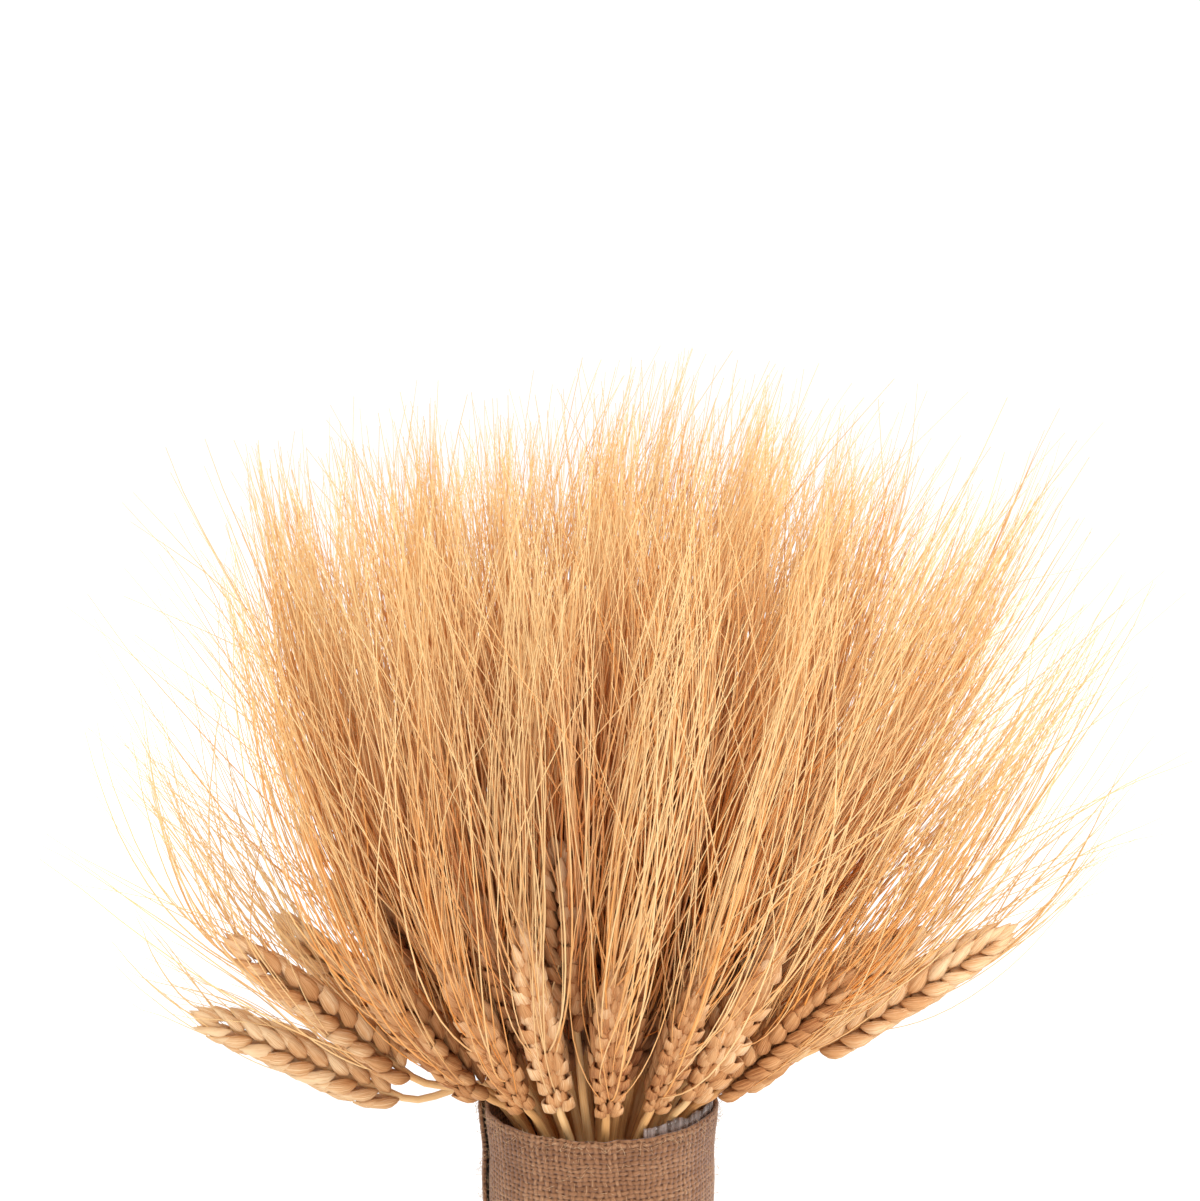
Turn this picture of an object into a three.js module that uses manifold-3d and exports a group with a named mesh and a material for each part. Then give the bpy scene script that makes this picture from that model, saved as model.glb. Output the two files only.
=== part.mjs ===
// A bundle of dried bearded wheat that stands on its cut stem ends: 57 stalks held by an elastic
// tie, with a strip of clear film and a burlap wrap rolled round the stems. Millimetres, +Z up,
// the front is towards -Y, and the origin is on the cut end of the middle stalk.
import * as THREE from 'three';
import { mergeVertices } from 'three/addons/utils/BufferGeometryUtils.js';
import Module from 'manifold-3d';

const wasm = await Module();
wasm.setup();

// Heights of the bundle, from the cut ends up.
const waistHeight = 100;
const wrapTop = 168;
const throatHeight = 172;

// Radius of the ring of outermost stems at the cut ends, at the tie and where they leave the wrap.
const footRadius = 52;
const waistRadius = 15.2;
const throatRadius = 37.2;
const tiedLength = 12;
const neckHeight = 146;
const throatFlare = 2.3;

// Stems. A stem of the outer ring leaves the wrap flatter than its head by up to the exit droop, and
// the starts are how far above the wrap a head can begin.
const stemRadius = 1.75;
const stemSides = 4;
const bearingSway = 1.2;
const frontLean = 0.68;
const sideLean = 1.06;
const exitDroop = 22;
const outerStart = [7, 26];
const innerStart = [14, 44];

// Heads: a slim rachis with two rows of spikelets.
const headLength = 76;
const headLengthSway = [0.94, 1.08];
const rachisThickness = [0.9, 0.45];
const rachisHalfWidth = 1.6;
const rootSink = 0.4;
const bellyShare = 0.5;
const bellyDrop = 1;
const rachisShare = 0.86;
const spikeletCount = 11;
const firstSpikelet = 1;
const spikeletLength = 15.5;
const lastSpikeletShare = 0.88;
const spikeletHalfWidth = 6.2;
const spikeletDepth = 3.3;
const spikeletBack = 0.9;
const spikeletTilt = 27;

// Awns. They turn up, so that their lean levels off as their head's lean grows. Those of the widest
// heads are shorter, and so are those of a row that faces down.
const awnRadius = 0.5;
const awnLength = 155;
const awnLengthSway = [0.92, 1.04];
const awnSpread = 7;
const awnLeanMost = 24;
const awnLeanPace = 28;
const awnDraws = 8;
const wideLeans = [46, 62];
const wideHeadReach = 0.62;
const levelLeans = [25, 50];
const lowRowReach = 0.62;
const lowRowFacing = -0.05;

// Wrap, film and tie.
const wrapHeight = 110;
const wrapTopRadius = 42.4;
const wrapTaper = 0.04;
const wrapThickness = 1.6;
const wrapSteps = 28;
const flapStep = 1.4;
const flapBearings = [-152, -82];
const flapEdge = 0.6;
const filmTop = 170.5;
const filmHeight = 52;
const filmThickness = 1;
const filmBearings = [22, 84];
const filmSteps = 6;
const clearance = 0.3;
const tieHeight = 9;
const tieThickness = 1.8;
const tieSteps = 16;

// Rings of stalks, from the middle out. Share is the stem's part of the bundle's radius, and lean
// is how far its head tips outwards, in degrees from upright.
const stalkRings = [
  { count: 1, share: 0, lean: 1, leanSway: 1 },
  { count: 6, share: 0.25, lean: 10, leanSway: 1 },
  { count: 12, share: 0.5, lean: 21, leanSway: 2 },
  { count: 17, share: 0.75, lean: 34, leanSway: 2.5 },
  { count: 21, share: 1, lean: 51, leanSway: 3.5 },
];

// Heads of the outer ring that show most from the front, by their place in the ring. Start is how
// far above the wrap the head begins, and exit is how its stem tips where it leaves the wrap. The
// last two make room for the others.
const shownHeads = {
  16: { bearing: -88, lean: 66, start: 33, exit: 94, roll: 4, length: 77 },
  17: { bearing: -74, lean: 49, start: 33, exit: 70, roll: 12, length: 82 },
  18: { bearing: -54, lean: 43, start: 14, exit: 55, roll: 30 },
  19: { bearing: -36, lean: 36, start: 8, exit: 45, roll: 40 },
  20: { bearing: -19, lean: 27, start: 9, exit: 36, roll: 25, length: 84 },
  0: { bearing: 3, lean: 34, start: 8, exit: 36, roll: 5, length: 74 },
  1: { bearing: 24, lean: 35, start: 9, exit: 40, roll: -20 },
  2: { bearing: 42, lean: 33, start: 12, exit: 44, roll: -35 },
  3: { bearing: 58, lean: 45, start: 12, exit: 54, roll: 30 },
  4: { bearing: 74, lean: 47, start: 14, exit: 58, roll: 20 },
  5: { bearing: 90, lean: 57, start: 42, exit: 69, roll: 8 },
  6: { bearing: 107 },
  7: { bearing: 123 },
};

const seed = 0;
const colours = { straw: 0xd9ad72, burlap: 0xa98360, film: 0xe4e2e8, tie: 0xb98d5b };
const radians = THREE.MathUtils.degToRad;

// A repeatable number from 0 to 1 for one stalk and one purpose.
function chance(stalk, purpose) {
  const wave = Math.sin(stalk * 12.9898 + purpose * 78.233 + seed) * 43758.5453;
  return wave - Math.floor(wave);
}

// The same, from -1 to 1.
function sway(stalk, purpose) {
  return 2 * chance(stalk, purpose) - 1;
}

function mix(a, b, t) {
  return a + (b - a) * t;
}

// Radius at a height of the ring of outermost stems, which narrows to the tie and opens again.
function bundleRadius(height) {
  const waistLow = waistHeight - tiedLength / 2;
  const waistHigh = waistHeight + tiedLength / 2;
  if (height < waistLow) {
    return mix(waistRadius, footRadius, (waistLow - height) / waistLow);
  }
  const up = Math.max(0, (height - waistHigh) / (throatHeight - waistHigh));
  return mix(waistRadius, throatRadius, up ** throatFlare);
}

// Every stalk's place and pose. Bearing 0 faces the front and 90 the right.
function planStalks() {
  const stalks = [];
  stalkRings.forEach((ring, ringIndex) => {
    const outer = ringIndex === stalkRings.length - 1;
    for (let place = 0; place < ring.count; place += 1) {
      const number = stalks.length + 1;
      const even = (360 * (place + 0.5 * (ringIndex % 2))) / ring.count;
      const bearing = even + sway(number, 1) * bearingSway;
      const sideways = Math.abs(Math.sin(radians(bearing))) ** 1.5;
      const tipped = ring.lean * mix(frontLean, sideLean, sideways);
      const lean = tipped + sway(number, 2) * ring.leanSway;
      const stalk = {
        number,
        share: ring.share,
        bearing,
        lean,
        start: mix(...(outer ? outerStart : innerStart), chance(number, 3)),
        exit: outer ? lean + exitDroop * sideways : lean,
        roll: 90 * chance(number, 4),
        length: headLength * mix(...headLengthSway, chance(number, 6)),
        ...(outer ? shownHeads[place] : {}),
      };
      const wide = THREE.MathUtils.smoothstep(stalk.lean, ...wideLeans);
      const ownLength = awnLength * mix(...awnLengthSway, chance(number, 5));
      stalk.reach = ownLength * mix(1, wideHeadReach, wide);
      stalk.awnLean = awnLeanMost * (1 - Math.exp(-stalk.lean / awnLeanPace));
      stalks.push(stalk);
    }
  });
  return stalks;
}

// The turn about the upright axis that brings a stalk from its own frame to its bearing.
function bearingTurn(stalk) {
  return radians(stalk.bearing - 90);
}

// The stalk leans towards +X in its own frame, so a lean alone gives a direction.
function leaning(degrees) {
  return new THREE.Vector3(Math.sin(radians(degrees)), 0, Math.cos(radians(degrees)));
}

// The line along the middle of a stem, from the cut end to where the head begins.
function stemLine(stalk) {
  const heights = [0, waistHeight - tiedLength / 2, waistHeight + tiedLength / 2, neckHeight];
  const points = heights.map((z) => new THREE.Vector3(stalk.share * bundleRadius(z), 0, z));
  const throat = new THREE.Vector3(stalk.share * throatRadius, 0, throatHeight);
  const rise = throatHeight - waistHeight - tiedLength / 2;
  const slope = (stalk.share * throatFlare * (throatRadius - waistRadius)) / rise;
  const headBase = throat.clone().addScaledVector(leaning(stalk.exit), stalk.start);
  const handle = stalk.start / 3;
  const bend = new THREE.CubicBezierCurve3(
    throat,
    throat.clone().addScaledVector(new THREE.Vector3(slope, 0, 1).normalize(), handle),
    headBase.clone().addScaledVector(leaning(stalk.lean), -handle),
    headBase,
  );
  return [...points, throat, bend.getPoint(0.5), headBase];
}

// A ring of points round a centre, the first one turned from axisA towards axisB by some degrees.
function ringOf(centre, axisA, axisB, radius, sides, turned = 0) {
  const ring = [];
  for (let i = 0; i < sides; i += 1) {
    const turn = radians(turned) + (2 * Math.PI * i) / sides;
    ring.push(
      centre
        .clone()
        .addScaledVector(axisA, radius * Math.cos(turn))
        .addScaledVector(axisB, radius * Math.sin(turn)),
    );
  }
  return ring;
}

// A closed skin over a row of rings, each anticlockwise as seen from the far end. A ring of one
// point closes an end to a tip, and a longer end ring gets a flat cap.
function skin(rings) {
  const starts = [];
  let total = 0;
  for (const ring of rings) {
    starts.push(total);
    total += ring.length;
  }
  const faces = [];
  for (let r = 0; r + 1 < rings.length; r += 1) {
    const low = rings[r].length;
    const high = rings[r + 1].length;
    for (let i = 0; i < Math.max(low, high); i += 1) {
      const a = starts[r] + (i % low);
      const b = starts[r] + ((i + 1) % low);
      const c = starts[r + 1] + ((i + 1) % high);
      const d = starts[r + 1] + (i % high);
      if (low > 1) faces.push(a, b, c);
      if (high > 1) faces.push(a, c, d);
    }
  }
  const last = rings.length - 1;
  for (let i = 1; i + 1 < rings[0].length; i += 1) {
    faces.push(0, i + 1, i);
  }
  for (let i = 1; i + 1 < rings[last].length; i += 1) {
    faces.push(starts[last], starts[last] + i, starts[last] + i + 1);
  }
  const geometry = new THREE.BufferGeometry().setFromPoints(rings.flat());
  geometry.setIndex(faces);
  return geometry;
}

// A closed geometry as a solid that can be joined to others.
function toSolid(geometry) {
  const merged = mergeVertices(geometry, 1e-4);
  return new wasm.Manifold(
    new wasm.Mesh({
      numProp: 3,
      vertProperties: new Float32Array(merged.attributes.position.array),
      triVerts: new Uint32Array(merged.index.array),
    }),
  );
}

function toGeometry(solid) {
  const mesh = solid.getMesh();
  const geometry = new THREE.BufferGeometry();
  geometry.setAttribute('position', new THREE.BufferAttribute(mesh.vertProperties, 3));
  geometry.setIndex(new THREE.BufferAttribute(mesh.triVerts, 1));
  geometry.computeVertexNormals();
  return geometry;
}

// The two directions that a head is laid out by: out, towards its first row of spikelets, and wing,
// along the width of a spikelet.
function headDirections(stalk, axis) {
  const side = new THREE.Vector3(0, 1, 0);
  const across = side.clone().cross(axis);
  const turn = radians(stalk.roll);
  const out = across.multiplyScalar(Math.cos(turn)).addScaledVector(side, Math.sin(turn));
  return { out, wing: axis.clone().cross(out) };
}

// A flat four-cornered section of the rachis, the slim stalk in the middle of the head.
function rachisSection(centre, out, wing, halfThickness) {
  return [[1, -1], [1, 1], [-1, 1], [-1, -1]].map(([outSign, wingSign]) =>
    centre
      .clone()
      .addScaledVector(out, outSign * halfThickness)
      .addScaledVector(wing, wingSign * rachisHalfWidth),
  );
}

// Where the head begins, and the direction it points in.
function headPlace(stalk) {
  return { headBase: stemLine(stalk).at(-1), axis: leaning(stalk.lean) };
}

// Stem and rachis as one four-sided skin. It twists a little above the wrap, so that the flats of
// the rachis face the two rows of spikelets.
function stemAndRachis(stalk) {
  const side = new THREE.Vector3(0, 1, 0);
  const line = stemLine(stalk);
  const { headBase, axis } = headPlace(stalk);
  const { out, wing } = headDirections(stalk, axis);
  const rings = line.slice(0, -1).map((point, i) => {
    const along = line[i + 1].clone().sub(line[Math.max(i - 1, 0)]).normalize();
    const across = i === 0 ? new THREE.Vector3(1, 0, 0) : side.clone().cross(along);
    const turned = i === line.length - 2 ? (stalk.roll - 45) / 2 : 0;
    return ringOf(point, across, side, stemRadius, stemSides, turned);
  });
  const rachisEnd = headBase.clone().addScaledVector(axis, stalk.length * rachisShare);
  rings.push(rachisSection(headBase, out, wing, rachisThickness[0]));
  rings.push(rachisSection(rachisEnd, out, wing, rachisThickness[1]));
  return skin(rings);
}

// The corners of one spikelet, a keeled scale that grows out of the rachis.
function layOutSpikelet(stalk, index) {
  const { headBase, axis } = headPlace(stalk);
  const first = headDirections(stalk, axis);
  const flip = index % 2 ? -1 : 1;
  const out = first.out.multiplyScalar(flip);
  const wing = first.wing.multiplyScalar(flip);
  const along = index / (spikeletCount - 1);
  const size = Math.sin(Math.PI * mix(0.3, 0.8, along)) ** 0.7;
  const length = spikeletLength * mix(1, lastSpikeletShare, along);
  const rootDepth = mix(rachisThickness[0], rachisThickness[1], along) - rootSink;
  const root = headBase
    .clone()
    .addScaledVector(axis, mix(firstSpikelet, stalk.length - length, along))
    .addScaledVector(out, rootDepth);
  const tilted = axis
    .clone()
    .multiplyScalar(Math.cos(radians(spikeletTilt)))
    .addScaledVector(out, Math.sin(radians(spikeletTilt)));
  const belly = root.clone().addScaledVector(tilted, length * bellyShare);
  const tip = root.clone().addScaledVector(tilted, length);
  const halfWidth = spikeletHalfWidth * size;
  const bellyRing = [
    belly.clone().addScaledVector(out, spikeletDepth * size).addScaledVector(axis, -bellyDrop),
    belly.clone().addScaledVector(wing, halfWidth).addScaledVector(out, -spikeletBack),
    belly.clone().addScaledVector(wing, -halfWidth).addScaledVector(out, -spikeletBack),
  ];
  return { root, bellyRing, tip, out, wing, axis };
}

// The far end of a spikelet's awn. Each draw gives it another direction. Awns of the upper row
// turn up from the head, and those of the lower row stay along it.
function awnEnd(stalk, index, { tip, out, wing, axis }, draw) {
  const inward = new THREE.Vector3(0, 1, 0).cross(axis).negate();
  const uplift = Math.tan(radians(stalk.lean - stalk.awnLean));
  const purpose = 20 + 3 * index + 60 * draw;
  const spreadOut = radians(awnSpread * mix(0.6, 1, chance(stalk.number, purpose)));
  const spreadWing = radians(awnSpread * sway(stalk.number, purpose + 1));
  const needle = axis
    .clone()
    .addScaledVector(out, Math.max(0, uplift * inward.dot(out)) + Math.tan(spreadOut))
    .addScaledVector(wing, uplift * inward.dot(wing) + Math.tan(spreadWing))
    .normalize();
  const level = THREE.MathUtils.smoothstep(stalk.lean, ...levelLeans);
  const rowReach = inward.dot(out) > lowRowFacing ? 1 : mix(1, lowRowReach, level);
  const reach = stalk.reach * rowReach * mix(0.84, 1, chance(stalk.number, purpose + 2));
  return tip.clone().addScaledVector(needle, reach);
}

function bareSpikelet({ root, bellyRing, tip }) {
  return skin([[root], bellyRing, [tip]]);
}

function awnedSpikelet({ root, bellyRing, tip, out, wing }, end, radius) {
  return skin([[root], bellyRing, ringOf(tip, out, wing, radius, 3), [end]]);
}

// Whether a solid keeps clear of others. Boxes that don't meet settle most of them.
function isClear(solid, others) {
  const box = solid.boundingBox();
  return others.every((other) => {
    const apart = [0, 1, 2].some(
      (i) => box.max[i] < other.box.min[i] || box.min[i] > other.box.max[i],
    );
    return apart || solid.intersect(other.solid).isEmpty();
  });
}

// A geometry of a stalk's own frame as a solid at its bearing in the bundle.
function toBundle(stalk, geometry) {
  return toSolid(geometry.rotateZ(bearingTurn(stalk)));
}

// All stalks. Each awn takes the first draw that keeps clear of every other stalk.
function makeStalks(stalks) {
  const layouts = stalks.map((stalk) =>
    Array.from({ length: spikeletCount }, (_, index) => layOutSpikelet(stalk, index)),
  );
  const standing = stalks.map((stalk, i) => {
    let solid = toBundle(stalk, stemAndRachis(stalk));
    for (const layout of layouts[i]) solid = solid.add(toBundle(stalk, bareSpikelet(layout)));
    return { solid, box: solid.boundingBox() };
  });
  return stalks.map((stalk, i) => {
    const others = standing.filter((_, j) => j !== i);
    let body = toSolid(stemAndRachis(stalk));
    layouts[i].forEach((layout, index) => {
      for (let draw = 0; draw < awnDraws; draw += 1) {
        const end = awnEnd(stalk, index, layout, draw);
        const roomy = toBundle(stalk, awnedSpikelet(layout, end, awnRadius + clearance));
        if (isClear(roomy, others)) {
          body = body.add(toSolid(awnedSpikelet(layout, end, awnRadius)));
          return;
        }
      }
      body = body.add(toSolid(bareSpikelet(layout)));
    });
    const geometry = toGeometry(body);
    const solid = toBundle(stalk, geometry.clone());
    standing[i] = { solid, box: solid.boundingBox() };
    return geometry;
  });
}

// Radius of the wrap's outside at a height, without the lapped end.
function wrapRadius(height) {
  return wrapTopRadius - wrapTaper * (wrapTop - height);
}

// The point at a bearing, a distance from the axis and a height.
function atBearing(bearing, radius, height) {
  const turn = radians(bearing);
  return new THREE.Vector3(radius * Math.sin(turn), -radius * Math.cos(turn), height);
}

// A closed skin over four-cornered sections, which either runs all the way round or has two ends.
function bandSkin(sections, closesOnItself) {
  const count = sections.length;
  const faces = [];
  const spans = closesOnItself ? count : count - 1;
  for (let s = 0; s < spans; s += 1) {
    const here = 4 * s;
    const next = 4 * ((s + 1) % count);
    for (let i = 0; i < 4; i += 1) {
      const j = (i + 1) % 4;
      faces.push(here + i, here + j, next + j, here + i, next + j, next + i);
    }
  }
  if (!closesOnItself) {
    const end = 4 * (count - 1);
    faces.push(0, 2, 1, 0, 3, 2, end, end + 1, end + 2, end, end + 2, end + 3);
  }
  const geometry = new THREE.BufferGeometry().setFromPoints(sections.flat());
  geometry.setIndex(faces);
  geometry.computeVertexNormals();
  return geometry;
}

// One upright section of a band: outside low, outside high, inside high, inside low.
function bandSection(bearing, low, high, outside, inside) {
  return [
    atBearing(bearing, outside(low), low),
    atBearing(bearing, inside(low), low),
    atBearing(bearing, inside(high), high),
    atBearing(bearing, outside(high), high),
  ];
}

function makeWrap() {
  const low = wrapTop - wrapHeight;
  const inside = (z) => wrapRadius(z) - wrapThickness;
  const lapped = (z) => wrapRadius(z) + flapStep;
  const sections = [];
  const [lapStart, lapEnd] = flapBearings;
  for (let i = 0; i < wrapSteps; i += 1) {
    const bearing = lapEnd + flapEdge + ((360 - flapEdge) * i) / wrapSteps;
    const onLap = bearing - 360 > lapStart;
    sections.push(bandSection(bearing, low, wrapTop, onLap ? lapped : wrapRadius, inside));
  }
  sections.push(bandSection(lapEnd + 360, low, wrapTop, lapped, inside));
  return bandSkin(sections, true);
}

function makeFilm() {
  const outside = (z) => wrapRadius(z) - wrapThickness - clearance;
  const inside = (z) => outside(z) - filmThickness;
  const [first, last] = filmBearings;
  const sections = [];
  for (let i = 0; i <= filmSteps; i += 1) {
    const bearing = mix(first, last, i / filmSteps);
    sections.push(bandSection(bearing, filmTop - filmHeight, filmTop, outside, inside));
  }
  return bandSkin(sections, false);
}

function makeTie() {
  const inner = waistRadius + stemRadius + clearance;
  const profile = [
    [inner, -tieHeight / 2],
    [inner + tieThickness, -tieHeight / 4],
    [inner + tieThickness, tieHeight / 4],
    [inner, tieHeight / 2],
    [inner, -tieHeight / 2],
  ].map(([radius, z]) => new THREE.Vector2(radius, z));
  const ring = new THREE.LatheGeometry(profile, tieSteps);
  ring.rotateX(Math.PI / 2);
  return ring;
}

function finish(colour, roughness) {
  return new THREE.MeshStandardMaterial({ color: colour, roughness, metalness: 0 });
}

function named(name, geometry, material) {
  const mesh = new THREE.Mesh(geometry, material);
  mesh.name = name;
  return mesh;
}

const bundle = new THREE.Group();
const stalks = planStalks();
makeStalks(stalks).forEach((geometry, i) => {
  const name = `stalk_${String(stalks[i].number).padStart(2, '0')}`;
  const mesh = named(name, geometry, finish(colours.straw, 0.75));
  mesh.rotation.z = bearingTurn(stalks[i]);
  bundle.add(mesh);
});
bundle.add(named('burlap_wrap', makeWrap(), finish(colours.burlap, 0.95)));
bundle.add(named('clear_film', makeFilm(), finish(colours.film, 0.2)));
const tie = named('stem_tie', makeTie(), finish(colours.tie, 0.85));
tie.position.z = waistHeight;
bundle.add(tie);

export default bundle;
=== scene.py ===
import math
import random

import bpy
from mathutils import Matrix, Vector, noise


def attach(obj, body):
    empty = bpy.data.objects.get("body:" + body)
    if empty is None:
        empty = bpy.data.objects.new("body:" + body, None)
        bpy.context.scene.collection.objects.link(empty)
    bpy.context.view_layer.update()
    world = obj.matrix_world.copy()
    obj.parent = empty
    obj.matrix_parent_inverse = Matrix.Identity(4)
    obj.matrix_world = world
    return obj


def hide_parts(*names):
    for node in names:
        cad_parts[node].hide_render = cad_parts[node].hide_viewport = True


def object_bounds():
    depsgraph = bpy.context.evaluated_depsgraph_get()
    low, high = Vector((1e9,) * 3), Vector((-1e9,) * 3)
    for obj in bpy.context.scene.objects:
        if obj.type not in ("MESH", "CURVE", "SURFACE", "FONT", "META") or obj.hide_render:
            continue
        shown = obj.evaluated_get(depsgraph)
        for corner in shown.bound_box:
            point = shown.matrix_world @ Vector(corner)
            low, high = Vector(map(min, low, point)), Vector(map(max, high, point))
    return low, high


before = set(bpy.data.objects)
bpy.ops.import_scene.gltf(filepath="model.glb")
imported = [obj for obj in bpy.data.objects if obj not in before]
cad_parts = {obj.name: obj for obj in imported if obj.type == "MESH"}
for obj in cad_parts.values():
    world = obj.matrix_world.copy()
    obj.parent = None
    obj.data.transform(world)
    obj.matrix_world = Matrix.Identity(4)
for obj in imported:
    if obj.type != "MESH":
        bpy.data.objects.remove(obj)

# A standing bundle of dried bearded wheat in a burlap wrap. Lengths in the dictionaries are in
# millimetres, the front is towards -Y and the bundle stands on its cut stem ends at z = 0.
mm = 0.001
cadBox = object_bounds()


# Helpers for numbers, colours, nodes and meshes.
def mix(a, b, t):
    return a + (b - a) * t


def smoothStep(value, low, high):
    t = min(1, max(0, (value - low) / (high - low)))
    return t * t * (3 - 2 * t)


def chance(stalk, purpose):  # repeatable number from 0 to 1
    wave = math.sin(stalk * 12.9898 + purpose * 78.233) * 43758.5453
    return wave - math.floor(wave)


def sway(stalk, purpose):
    return 2 * chance(stalk, purpose) - 1


def linear(red, green, blue):  # screen colour 0-255 to linear
    def one(c):
        c /= 255
        return c / 12.92 if c <= 0.04045 else ((c + 0.055) / 1.055) ** 2.4
    return (one(red), one(green), one(blue), 1)


def addNode(tree, kind, inputs=None, **settings):
    made = tree.nodes.new(kind)
    for name, value in settings.items():
        setattr(made, name, value)
    for key, value in (inputs or {}).items():
        if isinstance(value, bpy.types.NodeSocket):
            tree.links.new(value, made.inputs[key])
        else:
            made.inputs[key].default_value = value
    return made


def maths(tree, operation, *values):
    made = addNode(tree, "ShaderNodeMath", dict(enumerate(values)), operation=operation)
    return made.outputs[0]


def vectorMaths(tree, operation, *values):
    inputs = {}
    for i, value in enumerate(values):
        inputs["Scale" if operation == "SCALE" and i == 1 else i] = value
    made = addNode(tree, "ShaderNodeVectorMath", inputs, operation=operation)
    return made.outputs[0]


def readAttribute(tree, name, kind="FLOAT"):  # in a geometry tree
    made = addNode(tree, "GeometryNodeInputNamedAttribute", {"Name": name}, data_type=kind)
    return made.outputs["Attribute"]


def storeAttribute(tree, geometry, name, value, kind="FLOAT"):
    made = addNode(tree, "GeometryNodeStoreNamedAttribute",
                   {"Geometry": geometry, "Name": name, "Value": value}, data_type=kind)
    return made.outputs["Geometry"]


def startTree(name, sockets):  # a geometry tree with named inputs
    tree = bpy.data.node_groups.new(name, "GeometryNodeTree")
    face = tree.interface
    face.new_socket("Geometry", in_out="INPUT", socket_type="NodeSocketGeometry")
    for label, kind in sockets:
        face.new_socket(label, in_out="INPUT", socket_type="NodeSocket" + kind)
    face.new_socket("Geometry", in_out="OUTPUT", socket_type="NodeSocketGeometry")
    return tree, tree.nodes.new("NodeGroupInput"), tree.nodes.new("NodeGroupOutput")


def runTree(piece, tree, values):
    modifier = piece.modifiers.new(tree.name, "NODES")
    modifier.node_group = tree
    for item in tree.interface.items_tree:
        if item.in_out == "INPUT" and item.name in values:
            modifier[item.identifier] = values[item.name]


def toMesh(piece, name, keep=()):  # the tree's result as a plain mesh at the origin
    graph = bpy.context.evaluated_depsgraph_get()
    mesh = bpy.data.meshes.new_from_object(piece.evaluated_get(graph))
    for label in [a.name for a in mesh.attributes]:
        attribute = mesh.attributes[label]
        inBuilt = label in ("position", "material_index", "sharp_face") or label.startswith(".")
        if not inBuilt and not attribute.is_internal and label not in keep:
            mesh.attributes.remove(attribute)
    mesh.name = name
    made = bpy.data.objects.new(name, mesh)
    bpy.context.scene.collection.objects.link(made)
    return made


def addPiece(name, points, faces, edges=()):
    mesh = bpy.data.meshes.new(name)
    mesh.from_pydata([tuple(p) for p in points], edges, faces)
    mesh.validate()
    piece = bpy.data.objects.new(name, mesh)
    bpy.context.scene.collection.objects.link(piece)
    return piece


def giveAttribute(mesh, name, kind, values):
    attribute = mesh.attributes.new(name, kind, "POINT")
    if kind == "FLOAT_VECTOR":
        attribute.data.foreach_set("vector", [c for v in values for c in v])
    else:
        attribute.data.foreach_set("value", values)


def ramp(tree, factor, stops):
    made = addNode(tree, "ShaderNodeValToRGB", {"Fac": factor})
    band = made.color_ramp
    while len(band.elements) < len(stops):
        band.elements.new(0.5)
    for element, (place, colour) in zip(band.elements, stops):
        element.position = place
        element.color = colour
    return made.outputs["Color"]


def startMaterial(name):
    material = bpy.data.materials.new(name)
    material.use_nodes = True
    tree = material.node_tree
    return material, tree, tree.nodes["Principled BSDF"]


# Camera set to match the photograph.
view = {
    "target": (0, 0, 0.349),
    "distance": 1.05,
    "elevation": 10.7,
    "focalPixels": 3043,  # focal length in pixels of the 1200 x 1201 picture
    "pictureHeight": 1201,
    "sensorWidth": 36,
}


def placeCamera():
    lens = bpy.data.cameras.new("camera")
    lens.sensor_width = view["sensorWidth"]
    lens.lens = view["sensorWidth"] * view["focalPixels"] / view["pictureHeight"]
    camera = bpy.data.objects.new("camera", lens)
    up = math.radians(view["elevation"])
    back = Vector((0, -math.cos(up), math.sin(up)))
    camera.location = Vector(view["target"]) + back * view["distance"]
    camera.rotation_euler = (-back).to_track_quat("-Z", "Y").to_euler()
    bpy.context.scene.collection.objects.link(camera)
    bpy.context.scene.camera = camera


light = {
    "world": 1.08,
    "key": {"place": (0.75, -1.5, 1.5), "size": 1.1, "power": 24},
    "back": {"place": (-0.2, 1.3, 1.5), "size": 1.4, "power": 6},
    "floorColour": (0.95, 0.95, 0.95, 1),
    "floorReach": 60,  # metres
    "floorRoughness": 0.9,
    "aim": (0, 0, 0.25),
}


def lightStage():
    scene = bpy.context.scene
    scene.view_settings.view_transform = "Standard"
    world = bpy.data.worlds.new("studio")
    scene.world = world
    world.use_nodes = True
    world.node_tree.nodes["Background"].inputs["Color"].default_value = (1, 1, 1, 1)
    world.node_tree.nodes["Background"].inputs["Strength"].default_value = light["world"]
    for name in ("key", "back"):
        lamp = bpy.data.lights.new(name, "AREA")
        lamp.size = light[name]["size"]
        lamp.energy = light[name]["power"]
        holder = bpy.data.objects.new(name, lamp)
        holder.location = light[name]["place"]
        aim = Vector(light["aim"]) - holder.location
        holder.rotation_euler = aim.to_track_quat("-Z", "Y").to_euler()
        scene.collection.objects.link(holder)
    far = light["floorReach"]
    corners = [(-far, -far, 0), (far, -far, 0), (far, far, 0), (-far, far, 0)]
    floor = addPiece("floor", corners, [(0, 1, 2, 3)])
    material, _, shader = startMaterial("paleFloor")
    shader.inputs["Base Color"].default_value = light["floorColour"]
    shader.inputs["Roughness"].default_value = light["floorRoughness"]
    floor.data.materials.append(material)


placeCamera()
lightStage()
print("stage ready")


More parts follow.
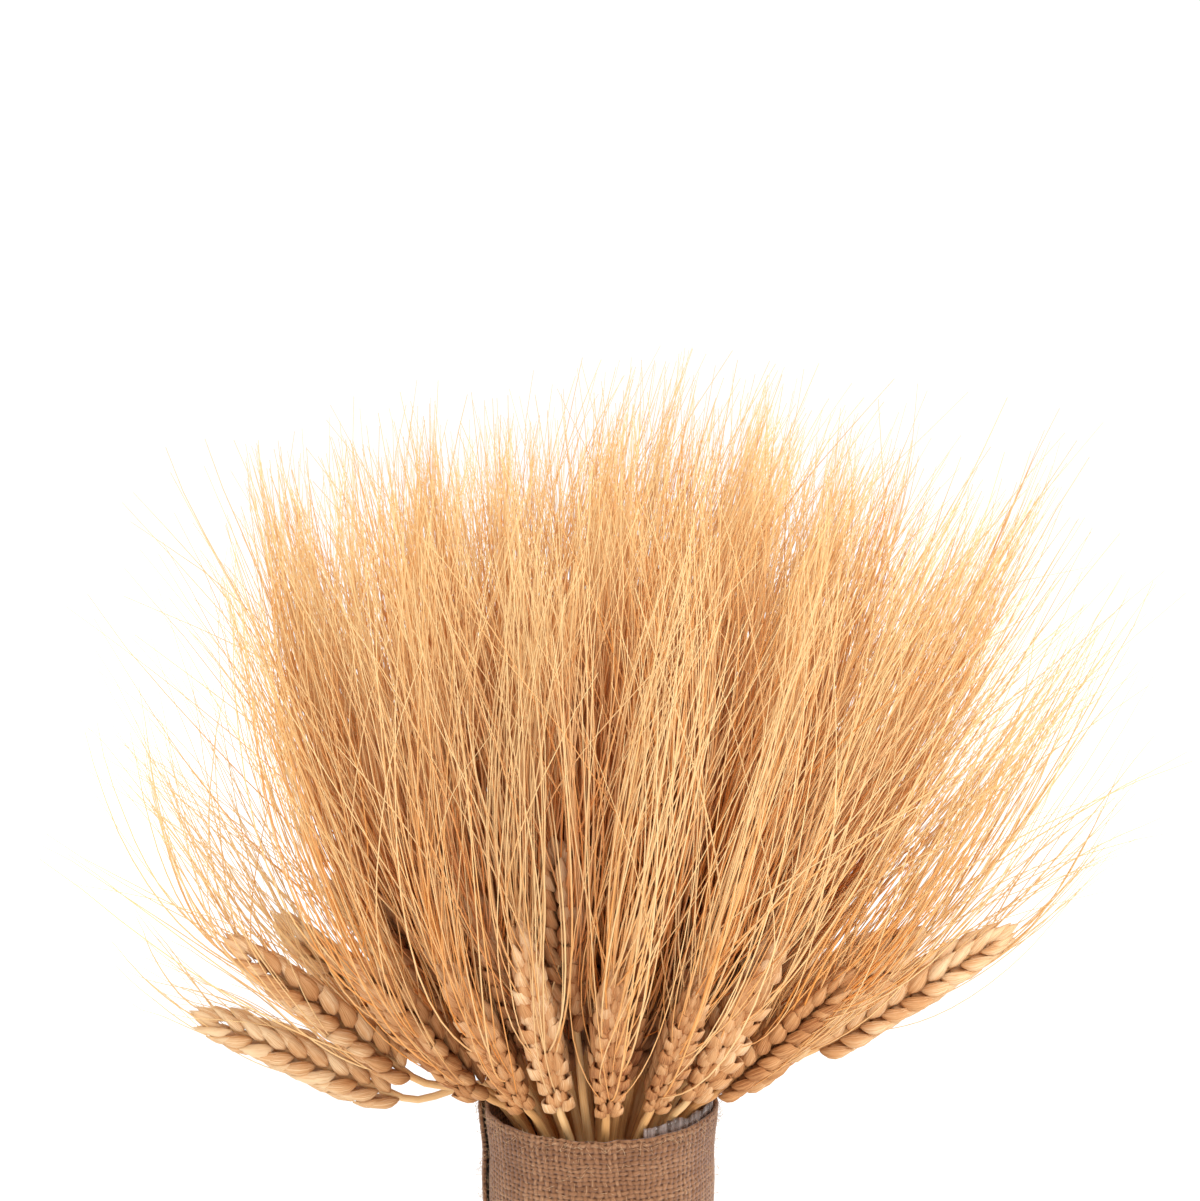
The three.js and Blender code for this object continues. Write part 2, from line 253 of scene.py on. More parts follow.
# Straw finishes. Stops run from dark to light, and streaks say how fine the grain is each way.
# The shade colour of each finish is mixed in where a part is marked dark: the stems' knots and rachis in
# their own darker colour, and husks and awns deep in the bundle and the glumes' hollow tops in painted
# shade.
straw = {
    "stem": {
        "stops": [(0.15, linear(176, 110, 58)), (0.5, linear(232, 176, 112)),
                  (0.85, linear(248, 212, 158))],
        "streaks": (5, 5, 40), "contrast": 0.8, "paler": 0, "darkAndShadeColour": (114, 48, 13),
        "roughness": 0.5, "bump": 0.4, "gloss": 0.25,
    },
    "husk": {
        "stops": [(0.1, linear(134, 74, 36)), (0.4, linear(190, 132, 82)),
                  (0.65, linear(214, 160, 108)), (0.95, linear(242, 208, 164))],
        "streaks": (11, 11, 1.4), "contrast": 1.3, "paler": 0.15, "darkAndShadeColour": (114, 48, 13),
        "roughness": 0.6, "bump": 0.9, "gloss": 0.2,
    },
    "awn": {
        "stops": [(0.1, linear(206, 117, 46)), (0.45, linear(243, 168, 86)),
                  (0.9, linear(251, 215, 157))],
        # On the awns, paler lightens the colour towards the tip: partly their own pale tips, partly
        # painted shade on the bases deep in the bundle.
        "streaks": (1, 1, 14), "contrast": 0.4, "paler": 0.31, "darkAndShadeColour": (198, 92, 24),
        "roughness": 0.5, "bump": 0.1, "gloss": 0.08,
    },
    "shared": {"deepShade": 0.85, "blotchScale": 90, "blotches": 0.3, "roughnessSway": 0.25,
               "bumpDepth": 0.0002},
}


def makeStraw(name, finish):
    material, tree, shader = startMaterial(name)
    shared = straw["shared"]
    grain = addNode(tree, "ShaderNodeAttribute", attribute_name="grain").outputs["Vector"]
    tint = addNode(tree, "ShaderNodeAttribute", attribute_name="tint").outputs["Fac"]
    # The dark mark and the hollow mark darken the colour: painted shade on husks and awns deep in the
    # bundle and inside the glumes' hollow tops, and the stems' own darker knots and rachis.
    dark = addNode(tree, "ShaderNodeAttribute", attribute_name="dark").outputs["Fac"]
    hollowShade = addNode(tree, "ShaderNodeAttribute", attribute_name="hollowShade").outputs["Fac"]
    dark = maths(tree, "MAXIMUM", dark, maths(tree, "MULTIPLY", hollowShade, shared["deepShade"]))
    offset = vectorMaths(tree, "SCALE", (17.3, 9.1, 5.7), tint)
    moved = vectorMaths(tree, "ADD", vectorMaths(tree, "MULTIPLY", grain, finish["streaks"]), offset)
    streaks = addNode(tree, "ShaderNodeTexNoise",
                      {"Vector": moved, "Scale": 1, "Detail": 3, "Roughness": 0.6}).outputs["Fac"]
    place = addNode(tree, "ShaderNodeTexCoord").outputs["Object"]
    blotches = addNode(tree, "ShaderNodeTexNoise",
                       {"Vector": place, "Scale": shared["blotchScale"], "Detail": 2}).outputs["Fac"]
    streaks = maths(tree, "SUBTRACT", streaks, 0.5)
    tone = maths(tree, "ADD", maths(tree, "MULTIPLY", streaks, finish["contrast"]), tint)
    blotches = maths(tree, "SUBTRACT", blotches, 0.5)
    tone = maths(tree, "ADD", tone, maths(tree, "MULTIPLY", blotches, shared["blotches"]))
    length = addNode(tree, "ShaderNodeSeparateXYZ", {"Vector": grain}).outputs["Z"]
    tone = maths(tree, "ADD", tone, maths(tree, "MULTIPLY", length, finish["paler"]))
    colour = ramp(tree, tone, finish["stops"])
    shaded = addNode(tree, "ShaderNodeMix", {0: dark, 6: colour, 7: linear(*finish["darkAndShadeColour"])},
                     data_type="RGBA").outputs[2]
    tree.links.new(shaded, shader.inputs["Base Color"])
    tree.links.new(maths(tree, "ADD", maths(tree, "MULTIPLY", streaks, shared["roughnessSway"]),
                         finish["roughness"]), shader.inputs["Roughness"])
    bump = addNode(tree, "ShaderNodeBump", {"Height": streaks, "Strength": finish["bump"],
                                            "Distance": shared["bumpDepth"]})
    tree.links.new(bump.outputs["Normal"], shader.inputs["Normal"])
    shader.inputs["Specular IOR Level"].default_value = finish["gloss"]
    return material


stemMaterial = makeStraw("strawStem", straw["stem"])
huskMaterial = makeStraw("strawHusk", straw["husk"])
awnMaterial = makeStraw("strawAwn", straw["awn"])


# Where every stalk goes.
bundle = {
    "waistHeight": 100, "throatHeight": 172, "tiedLength": 12,
    "footRadius": 52, "waistRadius": 15.2, "throatRadius": 37.2, "throatFlare": 2.3,
    "bearingSway": 1.2, "frontLean": 0.68, "sideLean": 1.06, "exitDroop": 22,
    "outerStart": (7, 26), "innerStart": (14, 44),
    "headLength": 76, "headLengthSway": (0.94, 1.08),
    "awnLength": 155, "awnLengthSway": (0.92, 1.04),
    "wideLeans": (46, 62), "wideHeadReach": 0.62,
    "dome": {"middle": 245, "wide": 190, "tall": 187, "shift": 13, "power": 2.8},
    "rings": [  # count, share of the bundle's radius, lean, sway of the lean
        (1, 0, 1, 1), (6, 0.25, 10, 1), (12, 0.5, 21, 2), (17, 0.75, 34, 2.5), (21, 1, 51, 3.5),
    ],
    "shownHeads": {  # places in the outer ring that are posed one by one, most of them in front
        # beard is the share kept of the awns' length, and tone runs from dark to pale
        16: {"bearing": -88, "lean": 66, "start": 33, "exit": 94, "roll": 4, "length": 77,
             "spikelets": 17, "beard": 0.66},
        17: {"bearing": -74, "lean": 49, "start": 33, "exit": 70, "roll": 12, "length": 82,
             "spikelets": 18, "beard": 0.74, "tone": 0.7},
        18: {"bearing": -54, "lean": 43, "start": 14, "exit": 55, "roll": 30},
        19: {"bearing": -36, "lean": 36, "start": 8, "exit": 45, "roll": 40},
        20: {"bearing": -19, "lean": 27, "start": 9, "exit": 36, "roll": 25, "length": 84},
        0: {"bearing": 3, "lean": 34, "start": 8, "exit": 36, "roll": 5, "length": 74},
        1: {"bearing": 24, "lean": 35, "start": 9, "exit": 40, "roll": -20},
        2: {"bearing": 42, "lean": 33, "start": 12, "exit": 44, "roll": -35},
        3: {"bearing": 58, "lean": 45, "start": 12, "exit": 54, "roll": 30},
        4: {"bearing": 74, "lean": 47, "start": 14, "exit": 58, "roll": 20, "length": 86},
        5: {"bearing": 90, "lean": 57, "start": 42, "exit": 69, "roll": 8},
        6: {"bearing": 107},
        7: {"bearing": 123},
    },
}


def bundleRadius(height):
    low = bundle["waistHeight"] - bundle["tiedLength"] / 2
    high = bundle["waistHeight"] + bundle["tiedLength"] / 2
    if height < low:
        return mix(bundle["waistRadius"], bundle["footRadius"], (low - height) / low)
    up = max(0, (height - high) / (bundle["throatHeight"] - high))
    return mix(bundle["waistRadius"], bundle["throatRadius"], up ** bundle["throatFlare"])


def planStalks():
    stalks = []
    for ringIndex, (count, share, ringLean, leanSway) in enumerate(bundle["rings"]):
        outer = ringIndex == len(bundle["rings"]) - 1
        for place in range(count):
            number = len(stalks) + 1
            even = 360 * (place + 0.5 * (ringIndex % 2)) / count
            bearing = even + sway(number, 1) * bundle["bearingSway"]
            sideways = abs(math.sin(math.radians(bearing))) ** 1.5
            lean = ringLean * mix(bundle["frontLean"], bundle["sideLean"], sideways)
            lean += sway(number, 2) * leanSway
            stalk = {
                "number": number, "share": share, "bearing": bearing, "lean": lean,
                "start": mix(*bundle["outerStart" if outer else "innerStart"], chance(number, 3)),
                "exit": lean + bundle["exitDroop"] * sideways if outer else lean,
                "roll": 90 * chance(number, 4), "beard": 1,
                "length": bundle["headLength"] * mix(*bundle["headLengthSway"], chance(number, 6)),
                "spikelets": round(mix(*head["spikelets"], chance(number, 10))),
            }
            if outer:
                stalk.update(bundle["shownHeads"].get(place, {}))
            wide = smoothStep(stalk["lean"], *bundle["wideLeans"])
            own = bundle["awnLength"] * mix(*bundle["awnLengthSway"], chance(number, 5))
            stalk["reach"] = stalk["beard"] * own * mix(1, bundle["wideHeadReach"], wide)
            stalks.append(stalk)
    return stalks


def domeShare(place):  # 1 on the dome that the awns fill, less inside it
    dome = bundle["dome"]
    across = math.hypot(place.x - dome["shift"], place.y) / dome["wide"]
    up = abs(place.z - dome["middle"]) / dome["tall"]
    return (across ** dome["power"] + up ** dome["power"]) ** (1 / dome["power"])


def leaning(degrees):
    return Vector((math.sin(math.radians(degrees)), 0, math.cos(math.radians(degrees))))


def bezier(a, b, c, d, t):
    u = 1 - t
    return a * u ** 3 + b * 3 * u * u * t + c * 3 * u * t * t + d * t ** 3


# A stalk's guide has a chain of points for the stem and a single point for each husk and awn.
stem = {
    "footGirth": 1.6, "neckGirth": 1.36, "throatSwell": 1.15, "sides": 8, "tints": (0.3, 0.7),
    "footStops": [0.6, 8, 24, 44, 54, 70], "topStops": [116, 126, 136, 146, 156, 165],
    "knots": ((16, 40), (62, 84)), "knotStops": (-2.2, -0.9, 0, 0.9, 2.2),
    "knotSwell": 0.5, "knotLength": 2.2, "knotDark": 0.75,
    "rachisGirth": (0.75, 2.1), "rachisShare": 0.86, "rachisTaper": 0.5, "rachisDark": 0.3,
}
head = {
    "wideLeans": (38, 60),  # from the first lean to the second a head becomes a wide one
    "spikelets": (15.6, 18.6), "tilt": (19, 9), "wideTilt": (27, 19), "tiltSway": 3, "fanSway": 4,
    "wideSlimness": 0.92, "wideMiddle": 1.25,
    "rise": 1.5, "lastRise": 2.5, "tipRise": 3, "topGap": 13, "offset": (0.5, 0),
    "fullSpacing": 3.6,  # spikelets this far apart are as large as the sizes below
    "sizes": (0.23, 0.87), "fullness": 0.55, "evenLength": 0.6, "slimming": 0.6, "jitter": 0.1,
    "footFan": 0.55, "footShare": 0.18, "pointedWide": 1.6,
    "tint": 0.2, "ownTint": 0.35, "paleTop": 0.16, "wideTint": 0.16, "tintSway": 0.16,
    "deepestPaintedShade": 0.5, "paintedShadePace": 1.2,
    # side, offsets out and up, fan angle, keel's turn, length, width, depth
    "glume": (1.6, 0.7, 0.0, 10, 56, 12.2, 5.8, 3.8),
    "lemma": (1.4, 0.2, 1.8, 9, 36, 13.0, 5.0, 3.1),
    "middle": (0.0, 0.0, 3.0, 0, 0, 11.8, 4.8, 3.0),
    "inner": (0.5, -0.2, 5.2, 4, 20, 10.0, 3.8, 2.4),
}
awn = {
    "turnIn": 0.34, "arch": (11, 9), "wideArch": 0.15, "sideFan": (0.1, 0.26), "sunk": 0.5,
    "endSpread": (5.5, 17, 38),  # of gathered, loose and stray ones
    "looseShares": (0.47, 0.09), "gathered": (0.5, 1.3), "frontSpread": 1.5,
    "leans": (26.5, 28), "leanSway": (2, 3), "shift": (0.11, 0, 0), "reachShare": (1.2, 0.9),
    "lowerEnds": 0.6, "tuftEnds": (0.92, 1.05), "shortest": 0.26, "shortPower": 2.2,
    "wisps": (0.14, 0.13), "straighter": 0.3, "bulge": 0.025, "slack": 1.03,
    "frontGap": 0.68, "wideGap": (0.75, 0.4), "doubled": (0.6, 0.3),
    "downStay": 0.7, "downReach": 0.7, "downTurn": 1.5,  # of the row that faces down
    # The front share pales the awns on the front of the bundle, a painted light on the side facing the
    # lamps.
    "tint": 0.26, "ownTint": 0.22, "tintSway": 0.38, "wideTint": 0.35, "frontPaintedLight": 0.12,
    "paintedDepthShade": (0.16, 1),
    "girth": 0.34, "girthSway": (0.65, 1.15), "wideGirth": 0.82, "tipGirth": 0.3, "crowding": 1.7,
    "segments": 13, "wobble": 1.6, "curl": 6, "seed": 3.0,
}
partNames = {"stem": 0, "glume": 1, "lemma": 2, "awn": 3}


def stemPath(stalk):  # places, girths and how dark each is, and the head's base and axis
    share = stalk["share"]
    low = bundle["waistHeight"] - bundle["tiedLength"] / 2
    high = bundle["waistHeight"] + bundle["tiedLength"] / 2
    throat = Vector((share * bundle["throatRadius"], 0, bundle["throatHeight"]))
    flare = bundle["throatFlare"] * (bundle["throatRadius"] - bundle["waistRadius"])
    slope = share * flare / (bundle["throatHeight"] - high)
    headBase = throat + leaning(stalk["exit"]) * stalk["start"]
    handle = stalk["start"] / 3
    points = []
    knots = [mix(*span, chance(stalk["number"], 7 + i)) for i, span in enumerate(stem["knots"])]
    knotted = [knot + stop for knot in knots for stop in stem["knotStops"]]
    tied = [low, bundle["waistHeight"], high]
    heights = sorted(stem["footStops"] + tied + stem["topStops"] + knotted)
    throatGirth = stem["neckGirth"] * stem["throatSwell"]
    for z in heights:
        near = min(abs(z - k) for k in knots)
        swell = max(0, 1 - near / stem["knotLength"])
        girth = mix(stem["footGirth"], throatGirth, z / bundle["throatHeight"])
        points.append((Vector((share * bundleRadius(z), 0, z)), girth + stem["knotSwell"] * swell, swell))
    a, d = throat, headBase
    b = throat + Vector((slope, 0, 1)).normalized() * handle
    c = headBase - leaning(stalk["lean"]) * handle
    for step in range(7):
        t = step / 6
        points.append((bezier(a, b, c, d, t), mix(throatGirth, stem["neckGirth"], t), 0))
    axis = leaning(stalk["lean"])
    rachis = mix(*stem["rachisGirth"], smoothStep(stalk["lean"], *head["wideLeans"]))
    for step in range(1, 6):
        t = step / 5
        place = headBase + axis * stalk["length"] * stem["rachisShare"] * t
        points.append((place, rachis * mix(1, stem["rachisTaper"], t), stem["rachisDark"]))
    return points, headBase, axis


def placedBy(keel, along):  # the turn that sets a husk's keel and length
    along = along.normalized()
    width = along.cross(keel).normalized()
    keel = width.cross(along)
    return Matrix((keel, width, along)).transposed()


def insideBox(point, low, high):
    return all(low[i] <= point[i] <= high[i] for i in range(3))


def growGuide(stalk, box):
    draw = random.Random(stalk["number"])
    turn = Matrix.Rotation(math.radians(stalk["bearing"] - 90), 3, "Z")
    points, headBase, axis = stemPath(stalk)
    side = Vector((0, 1, 0))
    across = side.cross(axis)
    roll = math.radians(stalk["roll"])
    firstOut = across * math.cos(roll) + side * math.sin(roll)
    tone = stalk.get("tone", chance(stalk["number"], 9))
    depth = 1 - stalk["share"]  # how deep in the bundle
    wide = smoothStep(stalk["lean"], *head["wideLeans"])
    rows = []

    def add(part, place, **more):
        row = {"part": partNames[part], "place": turn @ place * mm, "girth": 0, "dark": 0,
               "tint": 0.5, "turn": (0, 0, 0), "size": (1, 1, 1), "leaves": (0, 0, 1),
               "flow": (0, 0, 1), "bow": (0, 0, 0), "reach": 0}
        row.update(more)
        rows.append(row)

    for place, girth, swell in points:
        add("stem", place, girth=girth * mm, dark=stem["knotDark"] * swell,
            tint=mix(*stem["tints"], tone))

    def addHusk(kind, base, along, keel, size, shape, up):
        frameTurn = turn @ placedBy(keel, along)
        # Glumes are pointed on wide heads and near the top.
        blunt = kind == "glume" and draw.random() > max(head["pointedWide"] * wide, 2 * up - 0.9)
        fullLength, fullWidth, fullDepth = shape[5:]
        ownLength = fullLength * mix(size, 1, head["evenLength"])
        width = fullWidth * size * mix(1, head["wideSlimness"], wide)
        thick = fullDepth * size
        # Painted shade: husks of stalks deeper in the bundle get a darker colour, most for the inner
        # rings.
        add("glume" if blunt else "lemma", base, turn=tuple(frameTurn.to_euler()),
            size=(thick * mm, width * mm, ownLength * mm),
            dark=min(head["deepestPaintedShade"], head["paintedShadePace"] * depth),
            tint=(head["tint"] + head["ownTint"] * tone + head["paleTop"] * up ** 2
                  + head["wideTint"] * wide + head["tintSway"] * draw.uniform(-1, 1)))
        return base + along.normalized() * ownLength

    # The awns of one head gather towards a tuft.
    frontness = max(0, math.cos(math.radians(stalk["bearing"]))) * stalk["share"]
    spread = mix(1, awn["frontSpread"], frontness) * mix(*awn["gathered"], draw.random())
    headTip = headBase + axis * (stalk["length"] + head["tipRise"])
    leanSway, sideSway = awn["leanSway"]
    most, pace = awn["leans"]  # the awns turn up, so even a wide head's beard leans little
    tuftWay = leaning(most * (1 - math.exp(-stalk["lean"] / pace)) + draw.gauss(0, leanSway))
    tuftWay = tuftWay + side * math.tan(math.radians(draw.gauss(0, sideSway)))
    tuftWay = (tuftWay + turn.transposed() @ Vector(awn["shift"])).normalized()
    tuftReach, longest = 0, stalk["reach"] * mix(*awn["reachShare"], wide)
    ends = mix(*awn["tuftEnds"], draw.random())
    while tuftReach < longest and domeShare(turn @ (headTip + tuftWay * tuftReach)) < ends:
        tuftReach += 1

    girth = awn["girth"] * mix(1, awn["wideGirth"], wide)
    inner, outermost = awn["doubled"]
    doubled = outermost if stalk["share"] == 1 else inner

    def addAwn(root, leaves, below, facingDown):
        chosen = draw.random()
        loose = sum(chosen < share for share in awn["looseShares"])
        off = awn["endSpread"][loose] * (spread if loose < 2 else 1)
        shorter = awn["shortest"] * draw.random() ** awn["shortPower"]
        far = tuftReach * (1 - shorter) - awn["lowerEnds"] * below
        if draw.random() < awn["wisps"][0]:
            far *= 1 + awn["wisps"][1] * draw.random()
        end = headTip + tuftWay * far + side * draw.gauss(0, off)
        end = end + tuftWay.cross(side) * draw.gauss(0, off)
        low = wide * mix(draw.random() ** 3, 1, awn["downStay"] * facingDown)  # stays along the head
        end = end.lerp(headTip + axis * far * mix(1, awn["downReach"], facingDown), low)
        bow = Vector([draw.gauss(0, awn["bulge"]) for _ in range(3)])
        leaves = leaves.lerp((end - root).normalized(), awn["straighter"]).normalized()
        reach = (end - root).length * awn["slack"]
        k = awn["turnIn"]
        early = k * (1 - math.exp(-1 / k))
        for _ in range(14):  # shortened until its tip is inside the bundle's box
            if insideBox(turn @ end * mm, *box):
                break
            end = end.lerp(root, 0.05)
            reach *= 0.95
        flow = ((end - root) / reach - leaves * early) / (1 - early)
        # Painted shade: awns of deeper stalks get a darker colour near their roots.
        add("awn", root, girth=girth * mix(*awn["girthSway"], draw.random()) * mm,
            leaves=turn @ leaves, flow=turn @ flow, bow=turn @ bow, reach=reach * mm,
            tint=(awn["tint"] + awn["ownTint"] * tone + awn["tintSway"] * draw.random()
                  + awn["wideTint"] * wide + awn["frontPaintedLight"] * frontness),
            dark=mix(*awn["paintedDepthShade"], min(1, 2 * depth)))

    count = stalk["spikelets"]
    tilts = [mix(head["tilt"][end], head["wideTilt"][end], wide) for end in (0, 1)]
    scale = (stalk["length"] - head["topGap"]) / (count - 1) / head["fullSpacing"]
    for index in range(count + 1):
        top = index == count
        up = min(1, index / (count - 1))
        flip = -1 if index % 2 else 1
        out = firstOut * flip
        wing = axis.cross(out)
        if top:  # the last spikelet stands across the others
            out, wing = wing, -out
        size = scale * math.sin(math.pi * mix(*head["sizes"], up)) ** head["fullness"]
        tiltSway = head["tiltSway"]
        tilt = math.radians(0 if top else mix(*tilts, up) + draw.uniform(-tiltSway, tiltSway))
        along = axis * math.cos(tilt) + out * math.sin(tilt)
        away = out * math.cos(tilt) - axis * math.sin(tilt)
        rise = head["rise"] + (stalk["length"] - head["topGap"]) * up + (head["lastRise"] if top else 0)
        root = headBase + axis * rise + out * (0 if top else mix(*head["offset"], wide))
        slim = 1 - head["slimming"] * up ** 3
        slim *= mix(head["footFan"], 1, smoothStep(up, 0, head["footShare"]))
        for kind, sides in (("glume", (-1, 1)), ("lemma", (-1, 1)), ("middle", (1,)),
                            ("inner", (flip,))):
            shape = head[kind]
            aside, outward, upward, fanAngle, keelAngle = shape[:5]
            for hand in sides:
                own = size * (1 + head["jitter"] * draw.uniform(-1, 1))
                if sides != (-1, 1):  # a wide head shows its middle
                    own *= mix(1, head["wideMiddle"], wide)
                fanSway = head["fanSway"]
                fan = math.radians(fanAngle * slim + draw.uniform(-fanSway, fanSway)) * hand
                keelTurn = math.radians(keelAngle) * hand
                base = root + wing * aside * hand * own + away * outward + along * upward * own
                direction = along * math.cos(fan) + wing * math.sin(fan)
                keel = away * math.cos(keelTurn) + wing * math.sin(keelTurn)
                tip = addHusk(kind, base, direction, keel, own, shape, up)
                arch = math.tan(math.radians(max(0, draw.gauss(*awn["arch"]))))
                arch = mix(1, awn["wideArch"], wide) * arch
                fanOut = draw.gauss(0, mix(*awn["sideFan"], frontness))
                facingDown = max(0, -out.z)
                leaves = direction + keel * arch + wing * fanOut
                leaves = leaves + axis * awn["downTurn"] * wide * facingDown
                leaves.normalize()
                # Fewer stand before the front heads, and on the wide ones, most of all below.
                least, more = awn["wideGap"]
                facing = max(max(0, -(turn @ out).y) * frontness, wide * (least + more * facingDown))
                for again in (0, 1):
                    kept = draw.random() >= awn["frontGap"] * facing
                    if again:
                        kept = kept and draw.random() < doubled * (1 - wide)
                    if kept and kind != "glume":
                        addAwn(tip - direction * awn["sunk"], leaves, stalk["length"] - rise, facingDown)
    return rows


# The two unit husks, a pointed lemma and a blunt glume.
huskShapes = {
    # share along, half width, depth, bow of the back
    "lemma": [(0, 0.2, 0.18, 0.0), (0.09, 0.55, 0.5, 0.02), (0.26, 0.93, 0.9, 0.05),
              (0.46, 1.0, 1.0, 0.08), (0.66, 0.8, 0.82, 0.08), (0.84, 0.42, 0.46, 0.05),
              (1, 0.06, 0.1, 0.0)],
    "glume": [(0, 0.24, 0.22, 0.0), (0.08, 0.54, 0.48, 0.02), (0.22, 0.84, 0.8, 0.05),
              (0.42, 1.0, 1.0, 0.07), (0.64, 0.93, 0.94, 0.07)],
}
huskSection = [(1, 0), (0.62, 0.36), (0.0, 0.5), (-0.2, 0), (0.0, -0.5), (0.62, -0.36)]
glumeRim = {"low": 0.8, "tooth": 0.2, "width": 0.66, "shell": 0.15, "hollow": 0.58}  # its open top


def unitHusk(name):
    points, grain, faces, hollowShade = [], [], [], []
    sides = len(huskSection)

    def addRing(width, depth, bow, shares, hollowShadeAmount=0):
        for (x, y), share in zip(huskSection, shares):
            points.append((x * depth + bow, y * width, share))
            grain.append((x, y * 2, share))
            hollowShade.append(hollowShadeAmount)

    for share, width, depth, bow in huskShapes[name]:
        addRing(width, depth, bow, [share] * sides)
    if name == "glume":  # the rim rises to a tooth on the keel, and the top is hollow
        width, shell = glumeRim["width"], glumeRim["shell"]
        shares = [glumeRim["low"] + glumeRim["tooth"] * max(0, x) ** 2 for x, _ in huskSection]
        addRing(width, width + 0.05, 0.08, shares)
        # The inner rings of the hollow top are marked for painted shade.
        addRing(width - shell, width - shell, 0.12, [share - 0.01 for share in shares], 0.5)
        addRing(width, width, 0.1, [glumeRim["hollow"]] * sides, 1)
    rings = len(points) // sides
    for r in range(rings - 1):
        for i in range(sides):
            j = (i + 1) % sides
            faces.append((r * sides + i, r * sides + j, (r + 1) * sides + j, (r + 1) * sides + i))
    faces.append(tuple(reversed(range(sides))))
    faces.append(tuple(range((rings - 1) * sides, rings * sides)))
    piece = addPiece(name + "Unit", points, faces)
    giveAttribute(piece.data, "grain", "FLOAT_VECTOR", grain)
    giveAttribute(piece.data, "hollowShade", "FLOAT", hollowShade)
    return piece


